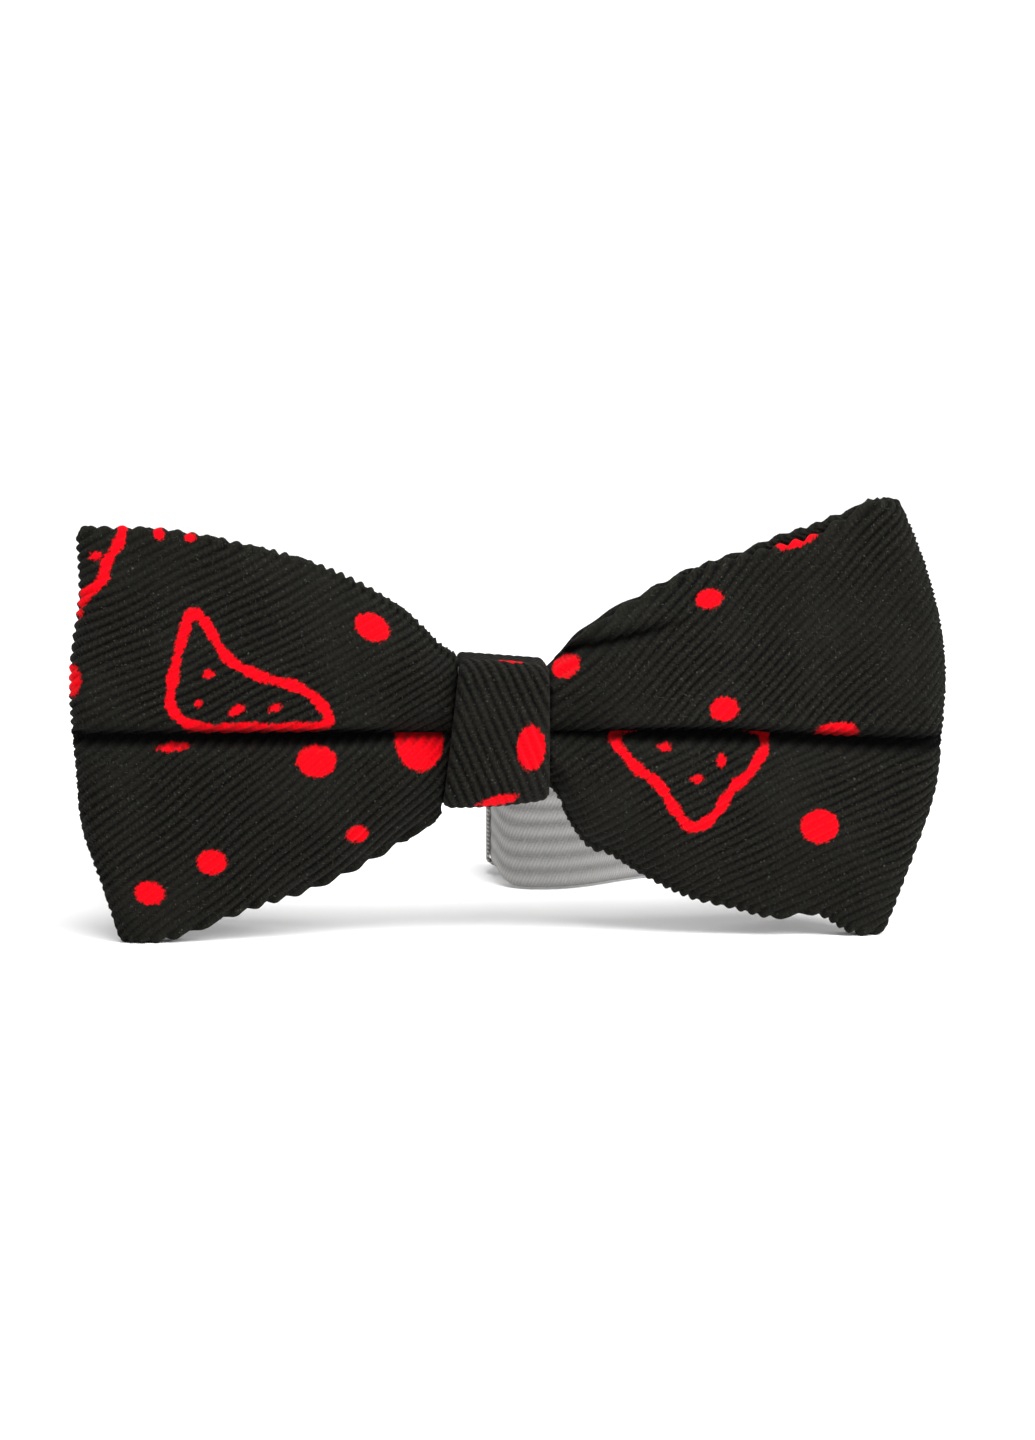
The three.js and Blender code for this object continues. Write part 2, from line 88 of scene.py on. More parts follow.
WAIST = (21.3, 35.7)  # the heights of the wings' edges under it
TAPE_WIDTH = 16.0
TAPE_HALF = 0.5
STRAND_OFFSET = 3.0
WIRE = 1.4
STANDING_HEIGHT = 10.2
METAL_TOP = 2 * STANDING_HEIGHT
RING_REACH = 9.0
HOOK_LOOP_REACH = 4.6
CREASE = (39.0, 52.4)  # the right wing's crease, at the knot and where it would meet the tip

# The camera
VIEW_CENTRE = (1.1, 30.3)
VIEW_DISTANCE = 600.0
VIEW_ELEVATION = math.radians(7.6)
VIEW_AZIMUTH = math.radians(-3.2)

BOW_WIDTH = (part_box("bow_cloth")[1].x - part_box("bow_cloth")[0].x) / MM
HALF_WIDTH = BOW_WIDTH / 2 + 0.09
BOW_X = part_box("knot_band")[1].x / MM - KNOT_RIGHT
BOW_Y = (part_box("waist_binding")[0].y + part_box("waist_binding")[1].y) / 2 / MM

# knot: the heights of the lower and upper edge beside it. bend: how fast each edge leaves that height.
# inset: how far the tip's lower and upper corner lie inside its widest place.
WINGS = {
    "left": {
        "side": -1,
        "start": 9.3,
        "knot": (17.6, 39.3),
        "tip_top": 57.2,
        "bend": (1.75, 2.5),
        "inset": (6.6, 1.1),
    },
    "right": {
        "side": 1,
        "start": 5.4,
        "knot": (19.0, 38.8),
        "tip_top": 60.5,
        "bend": (2.2, 1.6),
        "inset": (8.3, 6.8),
    },
}


def placed(points):
    """Points in the bow's frame, in mm, as points in the part's frame, in metres."""
    return (np.asarray(points, float) + (BOW_X, BOW_Y, 0.0)) * MM


def mix(a, b, share):
    return a + (b - a) * share


def ease(share):
    t = np.clip(share, 0.0, 1.0)
    return t * t * (3 - 2 * t)


def bump_at(value, centre, width):
    return np.exp(-(((value - centre) / width) ** 2))


def bumped(height, share, *bumps):
    """The height with bumps added, each (size, place, width)."""
    for size, place, width in bumps:
        height = height + size * bump_at(share, place, width)
    return height


def together(*axes):
    """Points from x, y and z, any of which may be one number for all."""
    return np.stack(np.broadcast_arrays(*axes), -1)


def distances(line):
    """How far along a line of points each of them is."""
    return np.r_[0, np.cumsum(np.linalg.norm(np.diff(line, axis=0), axis=1))]


def points_at(line, at):
    """The points of a line that are this far along it."""
    lengths = distances(line)
    return together(*(np.interp(at, lengths, column) for column in line.T))


def resampled(line, step):
    length = distances(line)[-1]
    return points_at(line, np.linspace(0, length, max(int(length / step), 2)))


def arc(centre, radius, degrees):
    """Pairs on a circle, at these angles."""
    angles = np.radians(degrees)
    return list(zip(centre[0] + radius * np.cos(angles), centre[1] + radius * np.sin(angles)))


def rounded_corners(low, high, corner, steps):
    """Pairs on a rectangle's rounded corners, from its high corner round to its lower right one."""
    inner = [(low[i] + corner, high[i] - corner) for i in (0, 1)]
    points = []
    for turn, (a, b) in enumerate([(1, 1), (0, 1), (0, 0), (1, 0)]):
        degrees = np.linspace(90 * turn, 90 * turn + 90, steps)
        points += arc((inner[0][a], inner[1][b]), corner, degrees)
    return points


def normals_of(route):
    """Unit normals on the right of a line of pairs."""
    along = np.gradient(route, axis=0)
    along /= np.linalg.norm(along, axis=1, keepdims=True)
    return together(along[:, 1], -along[:, 0])


# ---- Meshes ----


def loft_faces(rings, sides, looped):
    """Quads between each ring and the next, with an end face on each open end."""
    count = rings if looped else rings - 1
    i, j = np.meshgrid(np.arange(count), np.arange(sides), indexing="ij")
    k = (j + 1) % sides
    n = (i + 1) % rings
    quads = together(i * sides + j, i * sides + k, n * sides + k, n * sides + j)
    faces = quads.reshape(-1, 4).tolist()
    if not looped:
        faces.append(list(range(sides))[::-1])
        faces.append([(rings - 1) * sides + j for j in range(sides)])
    return faces


def linked(name, data):
    thing = bpy.data.objects.new(name, data)
    bpy.context.scene.collection.objects.link(thing)
    return thing


def new_piece(name, points, faces, material, attributes=None):
    mesh = bpy.data.meshes.new(name)
    mesh.from_pydata(np.asarray(points).reshape(-1, 3).tolist(), [], faces)
    for key, values in (attributes or {}).items():
        layer = mesh.attributes.new(key, "FLOAT", "POINT")
        layer.data.foreach_set("value", np.asarray(values, np.float32).ravel())
    mesh.validate()
    shape = bmesh.new()
    shape.from_mesh(mesh)
    bmesh.ops.recalc_face_normals(shape, faces=shape.faces)
    shape.to_mesh(mesh)
    shape.free()
    for polygon in mesh.polygons:
        polygon.use_smooth = True
    mesh.materials.append(material)
    return linked(name, mesh)


def lofted(name, rings, material, attributes=None, looped=False):
    """A piece from rings of points, an array of (ring, side, 3) in the bow's frame."""
    faces = loft_faces(rings.shape[0], rings.shape[1], looped)
    return new_piece(name, placed(rings), faces, material, attributes)


def outward(grid):
    """Unit normals of a grid of rings, pointing out of the ring."""
    around = np.roll(grid, -1, 1) - np.roll(grid, 1, 1)
    normal = np.cross(around, np.gradient(grid, axis=0))
    normal /= np.maximum(np.linalg.norm(normal, axis=2, keepdims=True), 1e-9)
    centre = grid.mean(1, keepdims=True)
    facing = np.sign(((grid - centre) * normal).sum(2).mean())
    return normal * facing


def tube_rings(path, radius, sides=8, looped=False):
    """Rings round a path of points, kept from twisting."""
    if looped:
        along = np.roll(path, -1, 0) - np.roll(path, 1, 0)
    else:
        along = np.gradient(path, axis=0)
    along /= np.linalg.norm(along, axis=1, keepdims=True)
    across = np.cross(along[0], (0.0, 0.0, 1.0))
    if np.linalg.norm(across) < 0.2:
        across = np.cross(along[0], (0.0, 1.0, 0.0))
    angles = np.linspace(0, 2 * math.pi, sides, endpoint=False)
    rings = []
    for point, direction in zip(path, along):
        across = across - direction * across.dot(direction)
        across /= np.linalg.norm(across)
        up = np.cross(direction, across)
        circle = np.outer(np.cos(angles), across) + np.outer(np.sin(angles), up)
        rings.append(point + radius * circle)
    return np.array(rings)


# ---- Materials ----


class Shader:
    """A material's node tree, with short calls for the nodes used here."""

    def __init__(self, name):
        self.material = bpy.data.materials.new(name)
        self.material.use_nodes = True
        self.nodes = self.material.node_tree.nodes
        self.links = self.material.node_tree.links
        self.surface = self.nodes["Principled BSDF"]

    def feed(self, socket, value):
        """Links an output to the socket, or sets it to a number or a colour."""
        if isinstance(value, bpy.types.NodeSocket):
            self.links.new(value, socket)
        else:
            socket.default_value = (*value, 1.0) if socket.type == "RGBA" else value

    def attribute(self, name):
        node = self.nodes.new("ShaderNodeAttribute")
        node.attribute_name = name
        return node.outputs["Fac"]

    def vector(self, x, y):
        node = self.nodes.new("ShaderNodeCombineXYZ")
        self.feed(node.inputs["X"], x)
        self.feed(node.inputs["Y"], y)
        return node.outputs["Vector"]

    def math(self, operation, a, b=0.0):
        node = self.nodes.new("ShaderNodeMath")
        node.operation = operation
        self.feed(node.inputs[0], a)
        self.feed(node.inputs[1], b)
        return node.outputs[0]

    def noise(self, vector, scale, detail=3.0, roughness=0.6):
        node = self.nodes.new("ShaderNodeTexNoise")
        self.feed(node.inputs["Vector"], vector)
        node.inputs["Scale"].default_value = scale
        node.inputs["Detail"].default_value = detail
        node.inputs["Roughness"].default_value = roughness
        return node.outputs["Fac"]

    def grain(self, scale, detail=3.0, roughness=0.6, stretch=(1, 1, 1)):
        """Noise in the piece's own space, finer along an axis that is stretched."""
        place = self.nodes.new("ShaderNodeTexCoord")
        node = self.nodes.new("ShaderNodeMapping")
        node.inputs["Scale"].default_value = stretch
        self.links.new(place.outputs["Object"], node.inputs["Vector"])
        return self.noise(node.outputs["Vector"], scale, detail, roughness)

    def ramp(self, value, low, high, out_low=0.0, out_high=1.0):
        node = self.nodes.new("ShaderNodeMapRange")
        node.interpolation_type = "SMOOTHSTEP"
        self.feed(node.inputs["Value"], value)
        ends = {"From Min": low, "From Max": high, "To Min": out_low, "To Max": out_high}
        for key, number in ends.items():
            node.inputs[key].default_value = number
        return node.outputs["Result"]

    def colours(self, share, low, high):
        node = self.nodes.new("ShaderNodeMix")
        node.data_type = "RGBA"
        for key, value in (("Factor", share), ("A", low), ("B", high)):
            self.feed(node.inputs[key], value)
        return node.outputs["Result"]

    def flecked(self, under, value, low, high, most, colour):
        """The colour under, with another over it where the value is high, at most to that share."""
        return self.colours(self.ramp(value, low, high, 0.0, most), under, colour)

    def wave(self, phase):
        """0 in the valleys and 1 on the ridges of a cosine with this phase."""
        turned = self.math("MULTIPLY", phase, 2 * math.pi)
        return self.math("ADD", self.math("MULTIPLY", self.math("COSINE", turned), 0.5), 0.5)

    def bump(self, height, distance, strength=1.0, over=None):
        node = self.nodes.new("ShaderNodeBump")
        node.inputs["Distance"].default_value = distance
        node.inputs["Strength"].default_value = strength
        self.feed(node.inputs["Height"], height)
        if over is not None:
            self.links.new(over, node.inputs["Normal"])
        return node.outputs["Normal"]

    def finish(self, colour, normal, roughness, **settings):
        self.feed(self.surface.inputs["Base Color"], colour)
        self.feed(self.surface.inputs["Roughness"], roughness)
        self.links.new(normal, self.surface.inputs["Normal"])
        for key, value in settings.items():
            self.surface.inputs[key.replace("_", " ")].default_value = value
        return self.material


def twill_material():
    """Charcoal twill with a red print. Its attributes are the ribs' phase, the way along them, the print,
    and an unshaded share, 0 deep in a pleat and 1 on open cloth, that paints shade into the pleats and
    crease."""
    s = Shader("printed_twill")
    rib = s.attribute("rib")
    along = s.attribute("along")
    ridge = s.wave(rib)
    unshaded_or_reach_shift = s.attribute("unshaded_or_reach_shift")
    yarn = s.noise(s.vector(s.math("MULTIPLY", rib, 3.2), s.math("MULTIPLY", along, 1.5)), 1.0, 4.0, 0.7)
    fibre = s.grain(2300.0, 5.0, 0.95)
    twist = s.wave(s.math("ADD", s.math("MULTIPLY", along, 1.5), s.math("MULTIPLY", yarn, 1.6)))
    lit = s.math("MULTIPLY", ridge, s.ramp(yarn, 0.3, 0.7, 0.35, 1.0))
    lit = s.math("MULTIPLY", lit, s.math("ADD", s.math("MULTIPLY", twist, 0.35), 0.65))
    brushed = s.ramp(s.grain(55.0, 1.0, 0.4), 0.42, 0.64, 0.0, 0.5)
    lit = s.math("ADD", lit, s.math("MULTIPLY", brushed, s.math("SUBTRACT", 0.35, lit)))

    upright = s.grain(1100.0, 2.0, 0.6, (1.0, 1.0, 7.0))
    level = s.grain(1000.0, 2.0, 0.6, (7.0, 1.0, 1.3))
    hairs = s.math("MAXIMUM", upright, level)
    dark = s.colours(lit, (0.0001, 0.0001, 0.0), (0.0132, 0.0129, 0.0094))
    dark = s.flecked(dark, fibre, 0.5, 0.7, 0.4, (0.026, 0.0253, 0.019))
    dark = s.flecked(dark, s.grain(110.0, 2.0, 0.5), 0.4, 0.7, 0.2, (0.013, 0.0128, 0.0102))
    dark = s.flecked(dark, s.grain(3600.0, 1.0, 0.3), 0.7, 0.78, 0.4, (0.08, 0.08, 0.07))
    dark = s.flecked(dark, hairs, 0.66, 0.76, 0.5, (0.05, 0.051, 0.045))
    # Painted shade: deep in the pleat and in the crease the charcoal is painted near black.
    dark = s.colours(unshaded_or_reach_shift, (0.0004, 0.0004, 0.0004), dark)

    ragged = s.math("MULTIPLY", s.math("SUBTRACT", yarn, 0.5), 1.5)
    inked = s.ramp(s.math("ADD", s.attribute("print"), ragged), -0.2, 0.2, 1.0, 0.0)
    red = s.colours(s.math("MULTIPLY", lit, 0.8), (0.55, 0.0, 0.004), (0.93, 0.0, 0.008))
    # Painted shade: deep in the pleat and in the crease the red is painted darker.
    red = s.colours(unshaded_or_reach_shift, (0.2, 0.0, 0.002), red)

    relief = s.math("ADD", s.math("MULTIPLY", yarn, 0.8), s.math("MULTIPLY", twist, 0.25))
    normal = s.bump(s.math("ADD", ridge, relief), 0.00026)
    normal = s.bump(fibre, 0.0001, 1.0, normal)
    colour = s.colours(inked, dark, red)
    rough = s.ramp(yarn, 0.2, 0.8, 0.78, 0.95)
    return s.finish(
        colour, normal, rough, Specular_IOR_Level=0.04, Sheen_Weight=0.015, Sheen_Roughness=0.5
    )


def tape_material():
    """Grey ribbed tape. Its attributes are the millimetres across it and along it."""
    s = Shader("ribbed_tape")
    across = s.attribute("across")
    along = s.attribute("along")
    ridge = s.wave(s.math("MULTIPLY", across, 1 / TAPE_RIB_PITCH))
    pick = s.wave(s.math("ADD", s.math("MULTIPLY", along, 2.0), s.math("MULTIPLY", across, 0.9)))
    yarn = s.noise(s.vector(s.math("MULTIPLY", along, 2.2), s.math("MULTIPLY", across, 5.0)), 1.0, 4.0, 0.7)
    base = s.colours(ridge, (0.18, 0.177, 0.172), (0.31, 0.306, 0.298))
    base = s.flecked(base, yarn, 0.35, 0.75, 0.5, (0.38, 0.375, 0.362))
    base = s.colours(s.math("MULTIPLY", pick, 0.3), base, (0.12, 0.118, 0.112))
    normal = s.bump(s.math("ADD", ridge, s.math("MULTIPLY", pick, 0.5)), 0.00014)
    normal = s.bump(yarn, 0.0001, 0.8, normal)
    rough = s.ramp(yarn, 0.2, 0.8, 0.65, 0.9)
    return s.finish(base, normal, rough, Specular_IOR_Level=0.25, Sheen_Weight=0.1)


def thread_material(name, dark, light):
    s = Shader(name)
    ply = s.wave(s.math("ADD", s.math("MULTIPLY", s.attribute("along"), 1.6), s.attribute("across")))
    fibre = s.grain(9000.0, 3.0, 0.7)
    colour = s.colours(s.math("MULTIPLY", ply, s.ramp(fibre, 0.3, 0.7, 0.5, 1.0)), dark, light)
    normal = s.bump(s.math("ADD", ply, s.math("MULTIPLY", fibre, 0.4)), 0.00012)
    return s.finish(colour, normal, s.ramp(fibre, 0.3, 0.7, 0.55, 0.8), Specular_IOR_Level=0.3)


def lining_material():
    s = Shader("woven_interlining")
    weave = s.math("MULTIPLY", s.grain(900.0, stretch=(1, 1, 8)), s.grain(900.0, stretch=(8, 1, 1)))
    colour = s.colours(s.ramp(weave, 0.12, 0.4), (0.42, 0.38, 0.31), (0.72, 0.68, 0.6))
    return s.finish(colour, s.bump(weave, 0.0003), s.ramp(weave, 0.1, 0.4, 0.95, 0.8), Sheen_Weight=0.1)


def nickel_material():
    """Nickel plate with fine rub marks and a little dullness where it is handled."""
    s = Shader("nickel_plate")
    rubs = s.grain(1500.0, stretch=(1, 1, 9))
    handled = s.grain(160.0)
    colour = s.colours(s.ramp(handled, 0.35, 0.7), (0.34, 0.332, 0.32), (0.46, 0.45, 0.436))
    rough = s.math("ADD", s.ramp(handled, 0.35, 0.7, 0.16, 0.28), s.ramp(rubs, 0.45, 0.75, 0.0, 0.12))
    return s.finish(colour, s.bump(rubs, 0.00001, 0.5), rough, Metallic=1.0)


# ---- Print: a signed distance in millimetres, below 0 where the cloth is red ----

# x, z, half width, half height, tilt in degrees
LEFT_DOTS = [
    (-19.0, 42.8, 2.45, 1.75, -28),
    (-26.8, 24.6, 2.65, 2.25, 0),
    (-12.6, 27.6, 3.3, 4.5, 0),
    (-21.2, 14.5, 1.5, 1.1, 15),
    (-41.1, 10.8, 2.0, 1.65, 0),
    (-49.6, 6.6, 2.05, 1.55, -10),
    (-46.2, 26.7, 2.1, 0.6, 6),
    (-60.2, 35.9, 1.5, 2.3, 0),
    (-56.4, 52.7, 0.8, 0.55, 10),
    (-47.7, 55.6, 0.75, 0.7, 0),
    (-43.6, 55.1, 0.7, 0.5, 0),
]
RIGHT_DOTS = [
    (27.2, 46.4, 1.85, 1.3, 8),
    (39.3, 54.6, 2.9, 1.15, 20),
    (7.6, 37.4, 1.9, 1.5, 40),
    (29.3, 31.3, 1.95, 1.6, 5),
    (44.9, 27.9, 2.9, 1.4, 4),
    (42.7, 15.0, 2.6, 2.3, 0),
]
KNOT_DOTS = [
    (2.5, 27.5, 1.9, 3.2, 0),
    (0.0, 40.9, 1.6, 1.0, 0),
    (-2.0, 20.1, 2.6, 0.9, 12),
]
# Outlines of a pear on its side above the left pleat and of one hanging below the right pleat, with seeds
LEFT_PEAR = [(-44.2, 43.6), (-46.0, 37.0), (-46.4, 32.0), (-43.0, 29.4), (-35.0, 29.2), (-26.6, 29.3)]
LEFT_PEAR += [(-25.2, 31.0), (-28.6, 34.4), (-34.2, 36.2), (-38.6, 38.6), (-41.6, 43.4), (-43.2, 44.8)]
LEFT_SEEDS = [(-41.4, 36.6, 0.75, 0.55, 20), (-42.8, 32.6, 0.5, 0.5, 0)]
LEFT_SEEDS += [(-37.6, 31.6, 1.1, 0.6, 25), (-32.4, 31.9, 0.8, 0.5, 20)]
RIGHT_PEAR = [(14.6, 28.2), (16.6, 23.9), (20.2, 21.0), (22.6, 17.4), (25.0, 15.0), (28.0, 16.6)]
RIGHT_PEAR += [(30.4, 20.2), (33.4, 23.2), (34.6, 28.2), (24.0, 30.2)]
RIGHT_SEEDS = [(25.6, 21.7, 0.8, 0.5, 10), (28.9, 24.2, 0.6, 0.9, 0), (21.0, 26.2, 0.9, 0.6, 0)]
CORNER_STROKE = [(-52.4, 58.6), (-53.0, 55.0), (-54.9, 51.8), (-55.6, 49.4), (-58.0, 47.2)]
CORNER_STROKE += [(-59.8, 43.6)]
STROKE_HALF = 0.62
LEFT_PRINT = (LEFT_DOTS, LEFT_PEAR, LEFT_SEEDS)
RIGHT_PRINT = (RIGHT_DOTS, RIGHT_PEAR, RIGHT_SEEDS)


def as_seen(grid):
    """Where the points lie in the view from the front, which is how the print's places are given."""
    x, y, z = np.moveaxis(grid, -1, 0)
    level = (z - VIEW_CENTRE[1]) * math.cos(VIEW_ELEVATION) + y * math.sin(VIEW_ELEVATION)
    nearer = VIEW_DISTANCE / (VIEW_DISTANCE + y)
    return VIEW_CENTRE[0] + (x - VIEW_CENTRE[0]) * nearer, VIEW_CENTRE[1] - 0.3 + level * nearer


def dots_distance(x, z, dots):
    best = np.full(np.shape(x), 99.0)
    for cx, cz, half_width, half_height, tilt in dots:
        c, s = math.cos(math.radians(tilt)), math.sin(math.radians(tilt))
        u = ((x - cx) * c + (z - cz) * s) / half_width
        v = ((z - cz) * c - (x - cx) * s) / half_height
        best = np.minimum(best, (np.hypot(u, v) - 1) * min(half_width, half_height))
    return best


def smooth_line(points, closed):
    """A Catmull-Rom line through the points."""
    p = list(np.array(points, float))
    p = [p[-1], *p, *p[:2]] if closed else [p[0], *p, p[-1]]
    line = []
    for a, b, c, d in zip(p, p[1:], p[2:], p[3:]):
        square, cube = 2 * a - 5 * b + 4 * c - d, 3 * b - a - 3 * c + d
        for t in np.arange(8) / 8:
            line.append(0.5 * (2 * b + (c - a) * t + square * t**2 + cube * t**3))
    return np.array([*line, p[-2]])


def stroke_distance(x, z, points, closed):
    """Distance to a line of print whose width wavers as a brush's does."""
    line = smooth_line(points, closed)
    best = np.full(np.shape(x), 99.0)
    for index, ((ax, az), (bx, bz)) in enumerate(zip(line[:-1], line[1:])):
        dx, dz = bx - ax, bz - az
        t = np.clip(((x - ax) * dx + (z - az) * dz) / max(dx * dx + dz * dz, 1e-9), 0, 1)
        half = STROKE_HALF * (1 + 0.22 * math.sin(index * 0.9) + 0.12 * math.sin(index * 2.3))
        best = np.minimum(best, np.hypot(x - ax - t * dx, z - az - t * dz) - half)
    return best


def wing_print(side, x, z, lobe):
    """The print on a wing's front. A dot that the pleat cuts shows on one lobe only."""
    dots, pear, seeds = LEFT_PRINT if side < 0 else RIGHT_PRINT
    cut = [dot for dot in dots if abs(dot[1] - PLEAT_HEIGHT) < dot[3]]
    best = dots_distance(x, z, [dot for dot in dots if dot not in cut])
    upper = dots_distance(x, z, cut)
    lower = np.minimum(stroke_distance(x, z, pear, True), dots_distance(x, z, seeds))
    if side < 0:
        best = np.minimum(best, stroke_distance(x, z, CORNER_STROKE, False))
        upper, lower = lower, upper
    return np.minimum(best, np.where(lobe > 0, upper, lower))


def strewn_dots():
    """Dots for the cloth behind, of the sizes on the front."""
    draw = np.random.default_rng(11)
    dots = []
    for column in range(-5, 6):
        for row in range(5):
            x = column * 11.5 + draw.uniform(-3, 3)
            z = 6 + row * 12.5 + draw.uniform(-3, 3) + (column % 2) * 5
            dots.append((x, z, draw.uniform(1.3, 2.5), draw.uniform(1.2, 2.2), draw.uniform(-30, 30)))
    return dots


def back_print(wing, x, z):
    """The print behind a wing, with no dot near its edges."""
    dots = []
    for dot in strewn_dots():
        share = np.clip((abs(dot[0]) - wing["start"]) / 50, 0, 1)
        low, high = wing_edges(wing, share, 0.0)
        if low + 4 < dot[1] < high - 5:
            dots.append(dot)
    return dots_distance(x, z, dots)


# ---- Bow ----


# The slope of the ribs in degrees and how much steeper they get at the knot, by side and lobe
RIB_SLOPES = {(-1, 1): (24, 0.75), (-1, 0): (38, 0.3), (1, 1): (46, -0.25), (1, 0): (25, 0.4)}


def rib_phase(side, lobe, x, z):
    """Which of the cloth's ribs a point is on, and how far along it."""
    phase = np.zeros(x.shape)
    along = np.zeros(x.shape)
    for part in (0, 1):
        degrees, steeper = RIB_SLOPES[side, part]
        angle = math.radians(degrees)
        reach = np.abs(x) - 8
        bent = x - side * steeper * 9 * np.exp(-np.maximum(reach, -4) / 9)
        sway = 0.3 * np.sin(x / 9 + part) + 0.25 * np.sin(z / 7 + 2 * part)
        sway = sway + 0.15 * np.sin(x / 3.1 + z / 4.3 + part) + 0.1 * np.sin(x / 1.9 - z / 2.3)
        here = (z * math.cos(angle) - bent * math.sin(angle) + sway) / PITCH
        on = lobe == part
        phase = np.where(on, here, phase)
        along = np.where(on, x * math.cos(angle) + z * math.sin(angle), along)
    return phase, along


def ridge_height(phase):
    return (0.5 + 0.5 * np.cos(2 * math.pi * phase)) ** 0.8


def wing_reach(wing, height):
    """How far out the wing's tip is at a height."""
    top = wing["tip_top"]
    above = height > WIDEST_HEIGHT
    up, down = (height - WIDEST_HEIGHT) / (top - WIDEST_HEIGHT), 1 - height / WIDEST_HEIGHT
    share = np.where(above, up, down)
    inset = np.where(above, wing["inset"][1], wing["inset"][0])
    unshaded_or_reach_shift = 0.6 * bump_at(height, 20.0, 7.0)
    if wing["side"] < 0:
        unshaded_or_reach_shift = 0.8 * bump_at(height, 16.0, 6.0) - 1.1 * bump_at(height, 48.0, 7.0)
    return HALF_WIDTH - inset * np.clip(share, 0, 1.1) ** 1.8 + unshaded_or_reach_shift


def pleat_height(wing, share):
    """The pleat's height. On the right wing it sags towards the tip."""
    sag = 1.5 * ease((share - 0.4) / 0.6) if wing["side"] > 0 else 0.0
    return PLEAT_HEIGHT - sag


def wing_edges(wing, share, turn):
    """The heights of a panel's lower and upper edges. The back panel's differ a little from the front's."""
    opened = ease(share / 0.026)
    low = mix(wing["knot"][0], 0.0, 1 - (1 - share) ** wing["bend"][0])
    high = mix(wing["knot"][1], wing["tip_top"], 1 - (1 - share) ** wing["bend"][1])
    back = turn / math.pi
    before_tip = 1 - share**8
    if wing["side"] < 0:
        low = bumped(low, share, (before_tip * 1.5, 0.66, 0.24), (back * -0.4, 0.1, 0.09))
        high = bumped(high, share, (before_tip * -0.65, 0.6, 0.2)) - 0.3 * back
        high = bumped(high, share, (-1.0, 0.06, 0.06))
    else:
        low = bumped(low, share, (3.2, 0.03, 0.035), (-1.1, 0.135, 0.04))
        low = bumped(low, share, (1.3, 0.62, 0.16), (2.5, 0.84, 0.1))
        high = bumped(high, share, (0.3, 0.2, 0.07), (-1.1, 0.02, 0.06), (-1.5, 0.6, 0.16))
        high = bumped(high, share, (-1.4, 0.8, 0.11), (-0.7, 0.91, 0.05))
        high = bumped(high, share, (before_tip * (1 - back) * -1.3, 0.76, 0.17))
    return mix(WAIST[0], low, opened), mix(WAIST[1], high, opened)


def swelling(share, front):
    """How full the lobes are, 0 to 1: fullest a little way from the knot, and full at once on the front."""
    swell = share / LOBE_PEAK * np.exp(1 - share / LOBE_PEAK)
    gathered = mix(0.8, 1.0, ease(share / LOBE_PEAK)) * ease(share / 0.024)
    return np.where((share < LOBE_PEAK) & front, gathered, swell)


def lobe_depth(share, from_pleat, lobe_height, rise, front):
    """From the bow's middle plane to a panel's. from_pleat is 0 at the pleat and 1 at the panel's edge."""
    edge = mix(TIP_DEPTH, EDGE_DEPTH, ease(share / KNOT_FLARE))
    inside = np.clip(from_pleat, 0, 1)
    gathered = np.sin(math.pi * inside) ** 0.8
    dip = 1 - np.exp(-((from_pleat * lobe_height / 1.25) ** 3))
    pressed = dip * np.cos(math.pi / 2 * inside) ** 0.55
    profile = mix(gathered, pressed, ease((share - 0.03) / 0.3))
    return mix(edge, TIP_DEPTH + rise * swelling(share, front) + 0.35 * ease(share), profile)


def ring_lines(fine):
    """The lines of one section ring: lobe, share of the lobe from the panel's edge, turn round that edge
    from the outside, and face (1 outside, -1 inside)."""
    lobe_steps = 76 if fine else 26
    edge_steps = 4 if fine else 1
    shares = np.linspace(0, 1, lobe_steps)
    lower = [(0, share, 0.0, 1) for share in shares]
    upper = [(1, 1 - share, 0.0, 1) for share in shares[1:]]
    over = [(1, 0.0, math.pi * (step + 1) / (2 * edge_steps + 2), 1) for step in range(2 * edge_steps + 1)]
    inner = np.linspace(0, 1, 6 if fine else 26)
    inside_upper = [(1, share, math.pi, -1) for share in inner]
    inside_lower = [(0, 1 - share, math.pi, -1) for share in inner[1:]]
    under = [(0, 0.0, math.pi - turn, 1) for _, _, turn, _ in over]
    return np.array(lower + upper + over + inside_upper + inside_lower + under)


def knot_left(z):
    """Where the knot's slanting left edge is at a height."""
    return mix(*KNOT_LEFT, np.clip((z - KNOT_FOOT) / KNOT_HEIGHT, 0, 1))


def wing_start(wing, z):
    """How far from x = 0 the wing's inner end is, a little way under the knot's cloth."""
    return (KNOT_RIGHT if wing["side"] > 0 else -knot_left(z)) - UNDER_KNOT


